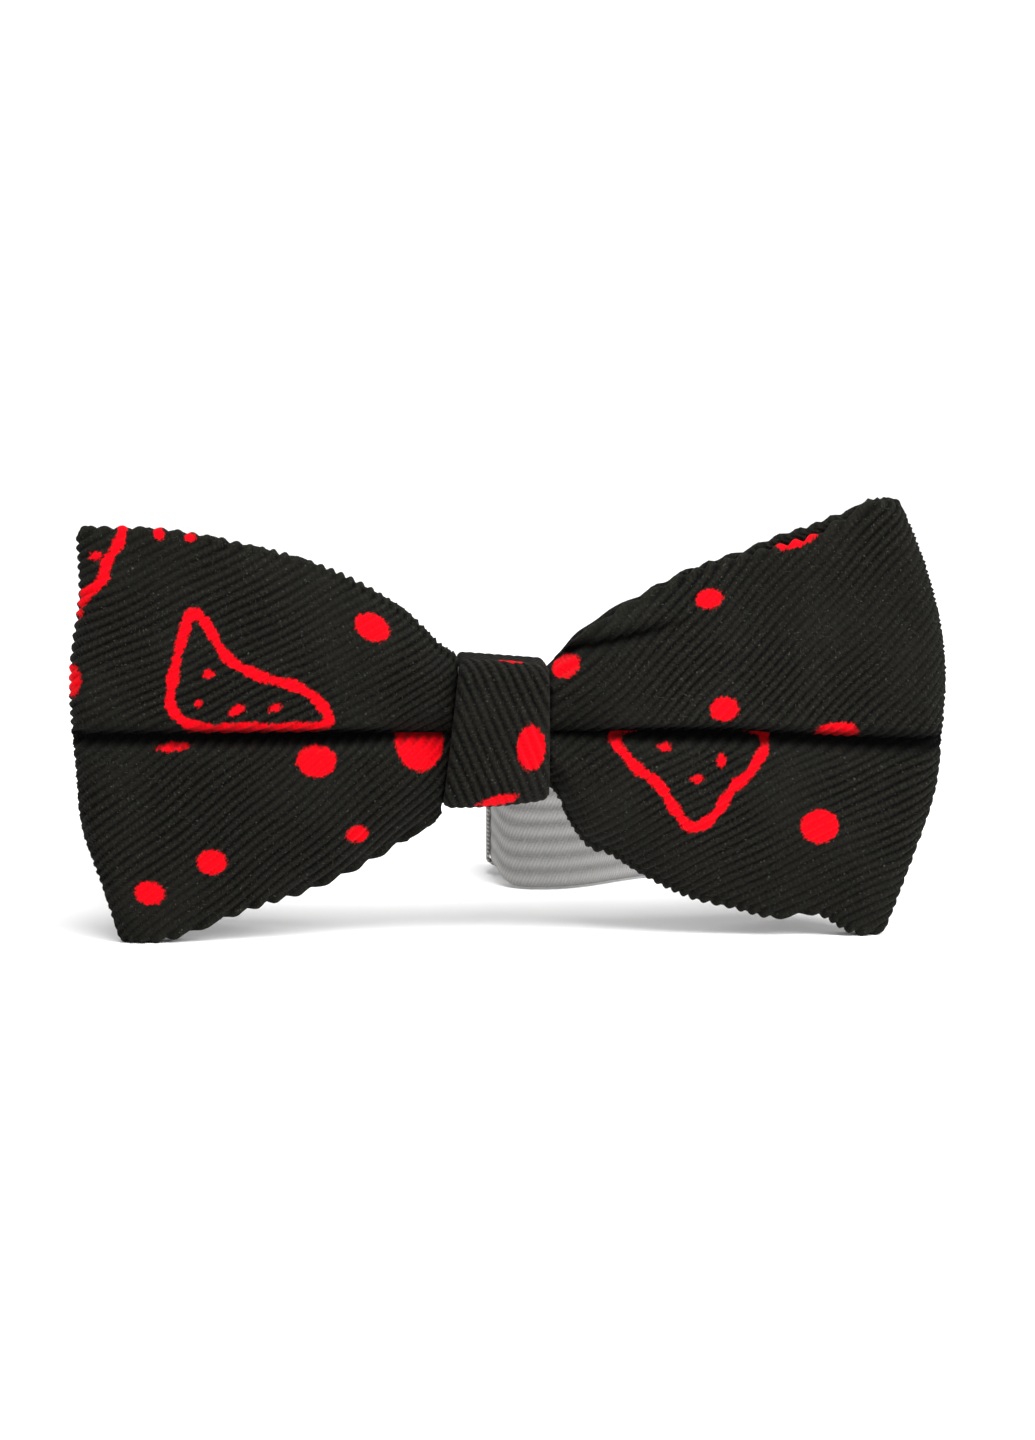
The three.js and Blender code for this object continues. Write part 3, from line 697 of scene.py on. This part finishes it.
def wing_grid(name, half, hem, shares_front, shares_back, fine):
    """The rings of one wing, from the waist along the front, round the tip and back behind. With them come
    each point's unrolled x and z, lobe, turn round the tip, sine of the turn round the panel's edge, share
    of the way to the tip and height over the pleat. hem is from the piece's edge to the panel's, half is
    half its thickness."""
    wing = WINGS[name]
    turns = np.linspace(0, math.pi, 15 if fine else 7)[1:-1]
    stations = [(share, 0.0) for share in shares_front]
    stations += [(1.0, turn) for turn in turns]
    stations += [(share, math.pi) for share in shares_back[::-1]]
    share, turn = (column[:, None] for column in np.array(stations).T)
    lobe, from_edge, round_edge, face = (column[None, :] for column in ring_lines(fine).T)
    low, high = wing_edges(wing, share, turn)
    edge = np.where(lobe > 0, high - hem, low + hem)
    pleat = pleat_height(wing, share)
    lobe_height = np.abs(np.where(lobe > 0, high, low) - pleat) - PANEL_HALF
    up = np.where(lobe > 0, 1.0, -1.0)
    flat_z = mix(edge, pleat, from_edge)
    from_pleat = np.abs(flat_z - pleat) / lobe_height
    rim = np.sin(round_edge) ** 0.75 * (round_edge < 3.1)
    z = flat_z + up * half * rim
    unrolled_z = flat_z + up * half * 0.3 * round_edge * (face > 0)
    offset = half * np.sign(np.cos(round_edge)) * np.abs(np.cos(round_edge)) ** 0.75
    front = lobe_depth(share, from_pleat, lobe_height, FRONT_RISE, True)
    back = lobe_depth(share, from_pleat, lobe_height, BACK_RISE, False)
    depth = mix(front, back, turn / math.pi) + hand_folds(wing, share, turn, z)
    fold_at = wing_reach(wing, z) - TIP_DEPTH - PANEL_HALF
    flat_x = mix(wing_start(wing, z), fold_at, share)
    x = flat_x + np.sin(turn) * (TIP_DEPTH + offset)
    # The cloth goes in at the pleat and rolls over it. The interlining stays flat and thin there.
    if fine:
        pressed = ease(share / 0.5)
        groove = np.exp(-((np.abs(z - pleat) / mix(0.45, 1.15, pressed)) ** 3))
        offset = offset - mix(0.35, 1.2, pressed) * groove * (round_edge == 0)
        off_pleat = np.abs(z - pleat) / 1.1
        lip = off_pleat * np.exp(1 - off_pleat) * np.abs(np.cos(turn))
        z = z - 0.35 * lip * pressed * (round_edge == 0)
    else:
        at_pleat = np.exp(-((np.abs(z - pleat + 0.3) / 1.7) ** 3)) * ease(share / 0.1)
        depth = mix(depth, 0.3, at_pleat)
        offset = offset * (1 - 0.5 * at_pleat)
    y = -np.cos(turn) * (depth + offset)
    behind = np.where(turn > 0, 1.0, -1.0)
    unrolled_x = wing["side"] * (fold_at + behind * (fold_at - flat_x) + turn * (TIP_DEPTH + PANEL_HALF))
    others = (unrolled_z, lobe, turn, np.sin(round_edge), share, z - pleat)
    return together(wing["side"] * x, y, z), unrolled_x, *(part + 0 * x for part in others)


def hand_folds(wing, share, turn, z):
    """Soft hand-sewn unevenness, and the rolled crease along the right wing's upper edge."""
    side = wing["side"]
    where = share * 50
    soft = 0.22 * np.sin(where / 6.5 + side) * np.sin(z / 6 + 1.3 * side)
    soft = soft + 0.14 * np.sin(where / 3.7 + z / 5)
    soft = soft * ease(share / 0.15) * ease((1.02 - share) / 0.2)
    gathers = 0.35 * np.sin(z * 1.25 + side) * np.exp(-share / 0.1) * ease(share / 0.02)
    crease = 0.0
    if side > 0:
        line = mix(*CREASE, share)
        fading = ease(share / 0.02) * ease((0.42 - share) / 0.2)
        crease = fading * (bump_at(z, line + 2.1, 1.3) - 2.2 * bump_at(z, line, 0.75))
    return soft + gathers + crease * (1 - turn / math.pi)


def bow_rings(half, hem, fine):
    """Both wings' rings, as wing_grid gives them, in one row round the bow from end to end behind the
    waist, and each ring's side."""
    at_knot = np.array([0.0, 0.005, 0.009, 0.012, 0.0155])
    front = np.r_[at_knot, np.linspace(0.019, 1, 182 if fine else 60)]
    back = np.r_[at_knot, np.linspace(0.019, 1, 60 if fine else 40)]
    left, right = (wing_grid(name, half, hem, front, back, fine) for name in WINGS)
    sides = np.repeat([-1, 1], [len(left[0]), len(right[0])])
    return [np.concatenate([a[::-1], b]) for a, b in zip(left, right)], sides


def cloth_strip(material):
    (grid, x, z, lobe, turn, rim, share, over_pleat), sides = bow_rings(PANEL_HALF, PANEL_HALF, True)
    phase, along, printed = np.zeros((3, *x.shape))
    for wing in WINGS.values():
        side = wing["side"]
        rows = sides == side
        phase[rows], along[rows] = rib_phase(side, lobe[rows], x[rows], z[rows])
        behind = back_print(wing, grid[rows, :, 0], z[rows])
        ahead = wing_print(side, *as_seen(grid[rows]), lobe[rows])
        printed[rows] = mix(ahead, behind, ease((turn[rows] - 1.2) / 0.8))
    at_edge = np.maximum(rim, np.sin(turn))
    relief = mix(RIB_HEIGHT, EDGE_RIB_HEIGHT, at_edge) * (ridge_height(phase) - 0.6)
    relief *= 0.85 + 0.15 * np.sin(along * 1.7 + phase)
    outside = ring_lines(True)[:, 3] > 0
    grid = grid + outward(grid) * (relief * outside)[..., None]
    grid[..., 2] = np.maximum(grid[..., 2], 0.03)
    on_right = sides[:, None] > 0
    pressed = ease(share / 0.5)
    half_pleat = mix(0.5, 1.35, pressed) + 0.35 * ease((share - 0.6) / 0.4) * on_right
    in_pleat = np.exp(-((np.abs(over_pleat + 0.25 * pressed) / half_pleat) ** 3)) * (rim == 0)
    in_crease = bump_at(z, mix(*CREASE, share), 0.8) * ease((0.42 - share) / 0.25) * on_right
    # Painted shade: 1 on open cloth, near 0 deep in the pleat and lower in the right wing's crease, where
    # the colour is painted darker.
    unshaded_or_reach_shift = (1 - 0.95 * in_pleat) * (1 - 0.7 * in_crease)
    attributes = {"rib": phase, "along": along, "print": printed, "unshaded_or_reach_shift": unshaded_or_reach_shift}
    return lofted("bow_twill", grid, material, attributes)


def interlining(material):
    (grid, *_), _ = bow_rings(0.2, 1.7, False)
    return lofted("bow_stiffener", grid, material)


# ---- Knot ----


def knot_path(grow, steps):
    """The knot band's way round the waist as y and z, from end to end at the back, and how far along it
    each point is. grow is how far it lies outside the cloth's outer face."""
    low = (KNOT_FRONT - grow, KNOT_FOOT - grow)
    high = (KNOT_BACK + grow, KNOT_FOOT + KNOT_HEIGHT + grow)
    ends = [(high[0], KNOT_MIDDLE + KNOT_SLIT)], [(high[0], KNOT_MIDDLE - KNOT_SLIT)]
    line = np.array(ends[0] + rounded_corners(low, high, KNOT_CORNER + grow, 12) + ends[1])
    at = np.linspace(0, distances(line)[-1], steps)
    return points_at(line, at), at


def tapered(z, right, share, left=1.02):
    """Heights drawn towards the knot's middle, by factors at its left and right."""
    return KNOT_MIDDLE + (z - KNOT_MIDDLE) * mix(left, right, share)


def knot_cloth(material):
    steps, across_steps = 250, 58
    outer, at = knot_path(0.0, steps)
    inner, _ = knot_path(-KNOT_CLOTH, steps)
    share = np.linspace(0, 1, across_steps)[None, :]
    back_share = np.linspace(1, 0, 8)[None, :]
    left = knot_left(outer[:, 1:])
    edge = np.clip(np.minimum(share, 1 - share) / 0.09, 0, 1)
    rounding = -0.95 * (1 - np.sqrt(1 - (1 - edge) ** 2))
    crown = 0.55 * (1 - (2 * share - 1) ** 2)
    in_front = ease((-outer[:, :1] - 2) / 5)
    crown = crown + in_front * 0.55 * (1 - ((outer[:, 1:] - KNOT_MIDDLE) / 10.6) ** 2)
    lift = rounding + crown * in_front
    x = mix(left, KNOT_RIGHT, share)
    unrolled = at[:, None] - at[-1] / 2
    phase = (x * math.sin(KNOT_RIB_ANGLE) - unrolled * math.cos(KNOT_RIB_ANGLE)) / PITCH
    phase = phase + 0.35 * np.sin(unrolled / 6) + 0.5 * share**2 * np.sin((unrolled - 4) / 9)
    lift = lift + KNOT_RIB_HEIGHT * (ridge_height(phase) - 0.6)
    y, z = outer.T[..., None] + normals_of(outer).T[..., None] * lift
    outside = together(x, y, tapered(z, 0.92, share))
    in_z = tapered(inner[:, 1:], 0.96, back_share)
    inside = together(mix(left, KNOT_RIGHT, back_share), inner[:, :1], in_z)
    grid = np.concatenate([outside, inside], 1)
    flat_z = KNOT_MIDDLE - unrolled + 0 * x
    printed = np.minimum(dots_distance(x, flat_z, KNOT_DOTS), NO_PRINT)
    behind = dots_distance(x + 31, np.abs(unrolled) + 4 + 0 * x, strewn_dots())
    printed = mix(printed, behind, ease((outer[:, :1] - 3) / 2))
    pad = np.zeros((steps, 8))
    along = x * math.cos(KNOT_RIB_ANGLE) + unrolled * math.sin(KNOT_RIB_ANGLE)
    attributes = {
        "rib": np.concatenate([phase, pad], 1),
        "along": np.concatenate([along, pad], 1),
        "print": np.concatenate([printed, pad + NO_PRINT], 1),
        "unshaded_or_reach_shift": np.ones((steps, across_steps + 8)),
    }
    return lofted("knot_twill", grid, material, attributes)


def knot_lining(material):
    outer, _ = knot_path(-KNOT_CLOTH - 0.12, 120)
    inner, _ = knot_path(-KNOT_CLOTH - 0.6, 120)
    share = np.linspace(0, 1, 8)[None, :]
    left = knot_left(outer[:, 1:]) + 1.0
    rows = []
    for path, across in ((outer, share), (inner, share[:, ::-1])):
        x = mix(left, KNOT_RIGHT - 1.0, across)
        rows.append(together(x, path[:, :1], tapered(path[:, 1:], 0.985, across, 1.015)))
    return lofted("knot_stiffener", np.concatenate(rows, 1), material)


# ---- Thread ----


def thread(name, path, radius, material):
    rings = tube_rings(path, radius)
    sides = rings.shape[1]
    along, across = np.broadcast_arrays(distances(path)[:, None], np.arange(sides) / sides)
    return lofted(name, rings, material, {"along": along, "across": across})


def rounded_box_path(half_a, half_b, corner, steps):
    """Points evenly spaced round a rounded rectangle, as pairs about its middle."""
    points = rounded_corners((-half_a, -half_b), (half_a, half_b), corner, 6)
    line = np.array(points + points[:1])
    return points_at(line, np.linspace(0, distances(line)[-1], steps + 1)[:-1])


def whipped(half_a, half_b, width, turns, radius):
    """A thread wound round a flat bundle: its two places across the bundle, and that along it."""
    wound = np.tile(rounded_box_path(half_a, half_b, 0.5, 40), (turns, 1))
    return together(*wound.T, np.linspace(radius - width / 2, width / 2 - radius, len(wound)))


def waist_binding(material):
    radius = 0.22
    y, z, x = whipped(3.55, 7.55, 4.0, 8, radius).T
    path = together(x + mix(KNOT_LEFT[0], KNOT_RIGHT, 0.5), y, z + mix(*WAIST, 0.5))
    return thread("waist_thread", path, radius, material)


def knot_seam(material):
    share = np.linspace(0, 1, 150)
    turned = share * 2 * math.pi * 9
    x = mix(mix(*KNOT_LEFT, 0.5) + 1.0, KNOT_RIGHT - 1.0, share)
    y = KNOT_BACK - 0.45 + 0.18 * np.cos(2 * turned)
    z = KNOT_MIDDLE + 0.42 * np.clip(1.6 * np.sin(turned), -1, 1)
    return thread("knot_ladder_stitch", together(x, y, z), 0.2, material)


# ---- Neckband ----

SIDE_CORNER = (48.5, 23.0)
LONG_SIDE_X = -53.0
LONG_BACK = 93.0
HOOK_BAR_X = -35.5
TAIL_END = 44.0
RING_BAR_Y = 57.0
RING_STRAND_X = 0.5
TAPE_AT_KNOT = 4.8
TACK_FROM_BAR = 4.5
CURL_DROP = 1.85  # how much lower the short tape lies where it curls


def plan_route(corners):
    """A plan route through (x, y, cut) corners, each rounded off over its cut, with points 0.9 mm apart."""
    p = [np.array(corner[:2], float) for corner in corners]
    line = [p[0]]
    for i in range(1, len(p) - 1):
        before, after = (
            p[i] + (p[k] - p[i]) / np.linalg.norm(p[k] - p[i]) * corners[i][2] for k in (i - 1, i + 1)
        )
        for t in np.linspace(0, 1, 14):
            line.append((1 - t) ** 2 * before + 2 * t * (1 - t) * p[i] + t**2 * after)
    line.append(p[-1])
    return relaxed(resampled(np.array(line), 0.9), 12)


def relaxed(route, rounds):
    """The route with its corners eased, and its ends and their directions kept."""
    for _ in range(rounds):
        inner = (route[:-4] + 2 * route[1:-3] + 4 * route[2:-2] + 2 * route[3:-1] + route[4:]) / 10
        route = np.concatenate([route[:2], inner, route[-2:]])
    return route


def bar_turn(route):
    """The half circle that takes a tape round a bar at the end of its route, without its two ends."""
    out = normals_of(route)[-1]
    along = np.array([-out[1], out[0]])
    angles = np.radians(np.linspace(0, 180, 12)[1:-1])[:, None]
    turned = (1 - np.cos(angles)) * out + np.sin(angles) * along
    return route[-1] + turned * STRAND_OFFSET / 2


def tape_mesh(name, plan, heights, halves, material):
    """A ribbed tape on edge along a plan route, with its middle's height and its half thickness there."""
    across = np.linspace(-TAPE_WIDTH / 2, TAPE_WIDTH / 2, 63)
    ribs = 0.15 * (np.abs(np.cos(math.pi * across / TAPE_RIB_PITCH)) ** 0.7 - 0.6)
    tuck = np.clip((TAPE_WIDTH / 2 - np.abs(across)) / 0.45, 0, 1)
    ribs = ribs * tuck - 0.36 * (1 - np.sqrt(1 - (1 - tuck) ** 2))
    up = np.concatenate([across, across[::-1]])
    reach = halves[:, None] + np.concatenate([ribs, ribs[::-1]])
    reach[:, len(across) :] *= -1
    x, y = plan.T[..., None] + normals_of(plan).T[..., None] * reach
    grid = together(x, y, heights[:, None] + up)
    along, across = np.broadcast_arrays(distances(plan)[:, None], up)
    return lofted(name, grid, material, {"across": across, "along": along})


def front_plan(side, exit_at):
    """A tape's corners, from inside the knot to the middle of its wing's back."""
    inside = (WINGS["right"]["start"] - WINGS["left"]["start"]) / 2 + side * 0.3
    return [
        (inside, TAPE_AT_KNOT),
        (side * exit_at, TAPE_AT_KNOT, 3.5),
        (side * (SIDE_CORNER[0] - 12.5), TAPE_AT_KNOT + 6.1, 6.5),
    ]


def front_heights(plan, exit_at):
    """The height of a tape's middle as it comes down from the knot to the corner."""
    run = (np.abs(plan[:, 0]) - exit_at) / (SIDE_CORNER[0] - 6.5 - exit_at)
    past_corner = plan[:, 1] > SIDE_CORNER[1]
    return np.where(past_corner, STANDING_HEIGHT, mix(KNOT_MIDDLE, STANDING_HEIGHT, ease(run)))


def long_tape(material):
    """From the knot to the hook's bar, round it, and doubled back to the tail's folded end."""
    exit_at = 11.0
    corner_x, corner_y = SIDE_CORNER
    corners = front_plan(-1, exit_at) + [
        (-corner_x, corner_y, 3),
        (LONG_SIDE_X, corner_y + 11, 4),
        (LONG_SIDE_X, LONG_BACK, 9),
        (HOOK_BAR_X, LONG_BACK),
    ]
    route = plan_route(corners)
    beside = route + normals_of(route) * STRAND_OFFSET
    back = beside[route[:, 1] > TAIL_END][::-1]
    plan = np.concatenate([route, bar_turn(route), back])
    halves = np.full(len(plan), TAPE_HALF)
    halves[-4:] = 0.75
    return tape_mesh("neckband_long_tape", plan, front_heights(plan, exit_at), halves, material)


def short_tape(material):
    """From the knot, curled round to the ring's bar, round it, and a short way back."""
    exit_at = KNOT_RIGHT + 3
    corner_x, corner_y = SIDE_CORNER
    corners = front_plan(1, exit_at) + [
        (corner_x, corner_y, 3),
        (corner_x + 5.5, corner_y + 17, 6),
        (corner_x - 8.5, corner_y + 33, 8),
        (22, 48, 3.5),
        (10, 37.5, 4),
        (RING_STRAND_X, 39, 4.5),
        (RING_STRAND_X, RING_BAR_Y),
    ]
    route = plan_route(corners)
    lengths = distances(route)
    start = lengths[np.argmax(route[:, 1] > corner_y)]
    share = np.clip((lengths - start) / (lengths[-1] - start), 0, 1)
    to_ring = ease((route[:, 1] - 39.5) / 5) * (route[:, 0] < 3)
    heights = front_heights(route, exit_at) - CURL_DROP * ease(share / 0.5) * (1 - to_ring)
    last = route[(route[:, 0] < 0.9) & (route[:, 1] > 46)]
    back = (last + normals_of(last) * STRAND_OFFSET)[::-1]
    turned = bar_turn(route)
    plan = np.concatenate([route, turned, back])
    round_bar = np.full(len(turned), heights[-1])
    heights = np.concatenate([heights, round_bar, heights[-len(last) :][::-1]])
    halves = np.full(len(plan), TAPE_HALF)
    return tape_mesh("neckband_short_tape", plan, heights, halves, material)


def tack(name, middle, along_x, material):
    radius = 0.24
    half_a, half_b = STRAND_OFFSET / 2 + TAPE_HALF + 0.42, TAPE_WIDTH / 2 + 0.42
    across, up, along = whipped(half_a, half_b, 3.0, 6, radius).T
    x, y = (along, across) if along_x else (across, along)
    path = together(middle[0] + x, middle[1] + y, STANDING_HEIGHT + up)
    return thread(name, path, radius, material)


# ---- Metal ----


def wire_loop(reach):
    """The middle line of a closed wire loop, from a bar at 0 to one at the reach, and its heights."""
    loop = rounded_box_path(reach / 2, METAL_TOP / 2 - WIRE / 2, 1.3, 96)
    return (loop + (reach / 2, METAL_TOP / 2)).T


def rounded_box(name, low, high, material):
    """A box between two corners in the bow's frame, with rounded edges."""
    points = list(itertools.product(*zip(low, high)))
    faces = [(0, 1, 3, 2), (4, 6, 7, 5), (0, 4, 5, 1), (2, 3, 7, 6), (0, 2, 6, 4), (1, 5, 7, 3)]
    piece = new_piece(name, placed(points), faces, material)
    bevel = piece.modifiers.new("edges", "BEVEL")
    bevel.width = 0.45 * MM
    bevel.segments = 4
    bevel.limit_method = "ANGLE"
    graph = bpy.context.evaluated_depsgraph_get()
    mesh = bpy.data.meshes.new_from_object(piece.evaluated_get(graph))
    piece.modifiers.clear()
    piece.data = mesh
    for polygon in mesh.polygons:
        polygon.use_smooth = True
    return piece


def joined(name, pieces):
    shape = bmesh.new()
    for piece in pieces:
        shape.from_mesh(piece.data)
    mesh = bpy.data.meshes.new(name)
    shape.to_mesh(mesh)
    shape.free()
    mesh.materials.append(pieces[0].data.materials[0])
    for piece in pieces:
        bpy.data.objects.remove(piece)
    return linked(name, mesh)


def metal_ring(material):
    y, z = wire_loop(RING_REACH)
    path = together(RING_STRAND_X + STRAND_OFFSET / 2, RING_BAR_Y + y, z)
    return lofted("ring_wire", tube_rings(path, WIRE / 2, 16, True), material, looped=True)


def metal_hook(material):
    """A wire loop round the tape, and a flat tongue from its far bar that curls back on itself."""
    bar = (HOOK_BAR_X, LONG_BACK - STRAND_OFFSET / 2)
    x, z = wire_loop(HOOK_LOOP_REACH)
    path = together(bar[0] + x, bar[1], z)
    loop = lofted("hook_loop", tube_rings(path, WIRE / 2, 16, True), material, looped=True)
    line = [(HOOK_LOOP_REACH, 0.0), (8.5, 0.0), (12.5, 0.0)]
    line += arc((12.5, 1.6), 1.6, np.linspace(-80, 90, 14))
    line += [(10.0, 3.15), (7.4, 3.3), (6.5, 3.7)]
    plan = resampled(np.array(line), 0.3) + bar
    share = np.linspace(0, 1, len(plan))
    half_height = mix(5.2, 3.6, ease((share - 0.55) / 0.45))
    half_height = half_height * np.minimum(1, 0.6 + ease((1 - share) / 0.06))
    angles = np.linspace(0, 2 * math.pi, 28, endpoint=False) + math.pi / 28
    flat = np.sign(np.cos(angles)) * np.abs(np.cos(angles)) ** 0.35
    tall = np.sign(np.sin(angles)) * np.abs(np.sin(angles)) ** 0.22
    x, y = plan.T[..., None] + normals_of(plan).T[..., None] * 0.5 * flat
    grid = together(x, y, STANDING_HEIGHT + half_height[:, None] * tall)
    tongue = lofted("hook_tongue", grid, material)
    return joined("hook_metal", [loop, tongue])


def metal_slider(material):
    """Two plates, over and under the tape, with one bar between them on the outside and two inside."""
    low, high = (corner / MM - Vector((BOW_X, BOW_Y, 0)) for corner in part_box("slider"))
    middle_y = (low.y + high.y) / 2
    plate = 1.2
    foot, head = 0.5, METAL_TOP - 0.5
    parts = [
        ((low.x, low.y, 0.0), (high.x, high.y, WIRE)),
        ((low.x, low.y, METAL_TOP - WIRE), (high.x, high.y, METAL_TOP)),
        ((low.x, middle_y - WIRE / 2, foot), (low.x + plate, middle_y + WIRE / 2, head)),
        ((high.x - plate, low.y, foot), (high.x, low.y + WIRE, head)),
        ((high.x - plate, high.y - WIRE, foot), (high.x, high.y, head)),
    ]
    boxes = [rounded_box(f"slider_part_{index}", *part, material) for index, part in enumerate(parts)]
    return joined("slider_metal", boxes)


# ---- Stage ----


def backdrop():
    """A white sweep: a floor that curves up into a wall well behind the bow."""
    s = Shader("pale_sweep")
    grain = s.grain(40.0, 2.0, 0.5)
    colour = s.colours(grain, (0.91, 0.91, 0.91), (0.94, 0.94, 0.94))
    material = s.finish(colour, s.bump(grain, 0.00002), 0.9, Specular_IOR_Level=0.05)
    profile = [(-2.0, 0.0), (0.9, 0.0), *arc((0.9, 0.6), 0.6, np.linspace(-80, 0, 9)), (1.5, 2.4)]
    points = [(x, y, z) for y, z in profile for x in (-2.0, 2.0)]
    faces = [[2 * i, 2 * i + 1, 2 * i + 3, 2 * i + 2] for i in range(len(profile) - 1)]
    new_piece("backdrop", points, faces, material)


def aim(thing, place, target):
    thing.location = place
    thing.rotation_euler = (target - place).to_track_quat("-Z", "Y").to_euler()


def area_light(name, place, target, size, power):
    light = bpy.data.lights.new(name, "AREA")
    light.shape = "DISK"
    light.size = size
    light.energy = power
    aim(linked(name, light), place, target)


def studio(target):
    world = bpy.data.worlds.new("studio")
    world.use_nodes = True
    sky = world.node_tree.nodes["Background"]
    sky.inputs["Color"].default_value = (1.0, 1.0, 1.0, 1.0)
    sky.inputs["Strength"].default_value = 0.85
    bpy.context.scene.world = world
    area_light("key", target + Vector((0.12, -0.5, 0.9)), target, 0.8, 12.0)
    area_light("fill", target + Vector((0.28, -0.26, 0.28)), target, 0.3, 2.6)
    area_light("left", target + Vector((-0.7, -0.7, 0.5)), target, 0.6, 1.0)
    bpy.context.scene.view_settings.view_transform = "Standard"


def camera(target):
    """From the front and a little above the bow, with a long lens."""
    distance = VIEW_DISTANCE * MM
    view_height = 0.1975
    flat = distance * math.cos(VIEW_ELEVATION)
    rise = distance * math.sin(VIEW_ELEVATION)
    eye = target + Vector((flat * math.sin(VIEW_AZIMUTH), -flat * math.cos(VIEW_AZIMUTH), rise))
    data = bpy.data.cameras.new("camera")
    data.lens = data.sensor_width * distance / view_height
    data.clip_start = 0.01
    bpy.context.scene.camera = linked("camera", data)
    aim(bpy.context.scene.camera, eye, target)


def build():
    target = Vector(placed((VIEW_CENTRE[0], 0.0, VIEW_CENTRE[1])).tolist())
    camera(target)
    studio(target)
    backdrop()

    twill = twill_material()
    tape = tape_material()
    lining = lining_material()
    black = thread_material("black_thread", (0.006, 0.006, 0.006), (0.05, 0.05, 0.047))
    grey = thread_material("grey_thread", (0.13, 0.125, 0.12), (0.5, 0.49, 0.47))
    nickel = nickel_material()

    def keep(piece, body, slot, *nodes):
        """Puts the piece in for its CAD nodes, on its body if it is given one. slot is not used."""
        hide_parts(*nodes)
        if body:
            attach(piece, body)
        return piece

    bow = keep(cloth_strip(twill), "bow", "bow_cloth", "bow_cloth")
    keep(interlining(lining), "bow", "interlining", "bow_interlining")
    knot = keep(knot_cloth(twill), "bow", "bow_cloth", "knot_band")
    keep(knot_lining(lining), "bow", "interlining", "knot_interlining")
    keep(waist_binding(black), "bow", "dark_thread", "waist_binding")
    keep(knot_seam(black), "bow", "dark_thread", "knot_seam_stitch")

    nodes = {half: (f"neckband_{half}_front", f"neckband_{half}_back") for half in ("long", "short")}
    long_piece = keep(long_tape(tape), None, "neckband_tape", *nodes["long"])
    short_piece = keep(short_tape(tape), None, "neckband_tape", *nodes["short"])
    corner_x, corner_y = SIDE_CORNER
    for half, piece, x in (("long", long_piece, -corner_x), ("short", short_piece, corner_x)):
        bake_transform(piece)

    hook_middle = (HOOK_BAR_X - TACK_FROM_BAR, LONG_BACK - STRAND_OFFSET / 2)
    ring_middle = (RING_STRAND_X + STRAND_OFFSET / 2, RING_BAR_Y - TACK_FROM_BAR)
    keep(tack("hook_whipping", hook_middle, True, grey), "long_band", "pale_thread", "hook_tack")
    keep(tack("ring_whipping", ring_middle, False, grey), "short_band", "pale_thread", "ring_tack")
    keep(metal_hook(nickel), "hook", "nickel", "hook")
    keep(metal_ring(nickel), "ring", "nickel", "ring")
    keep(metal_slider(nickel), "slider", "nickel", "slider")


build()
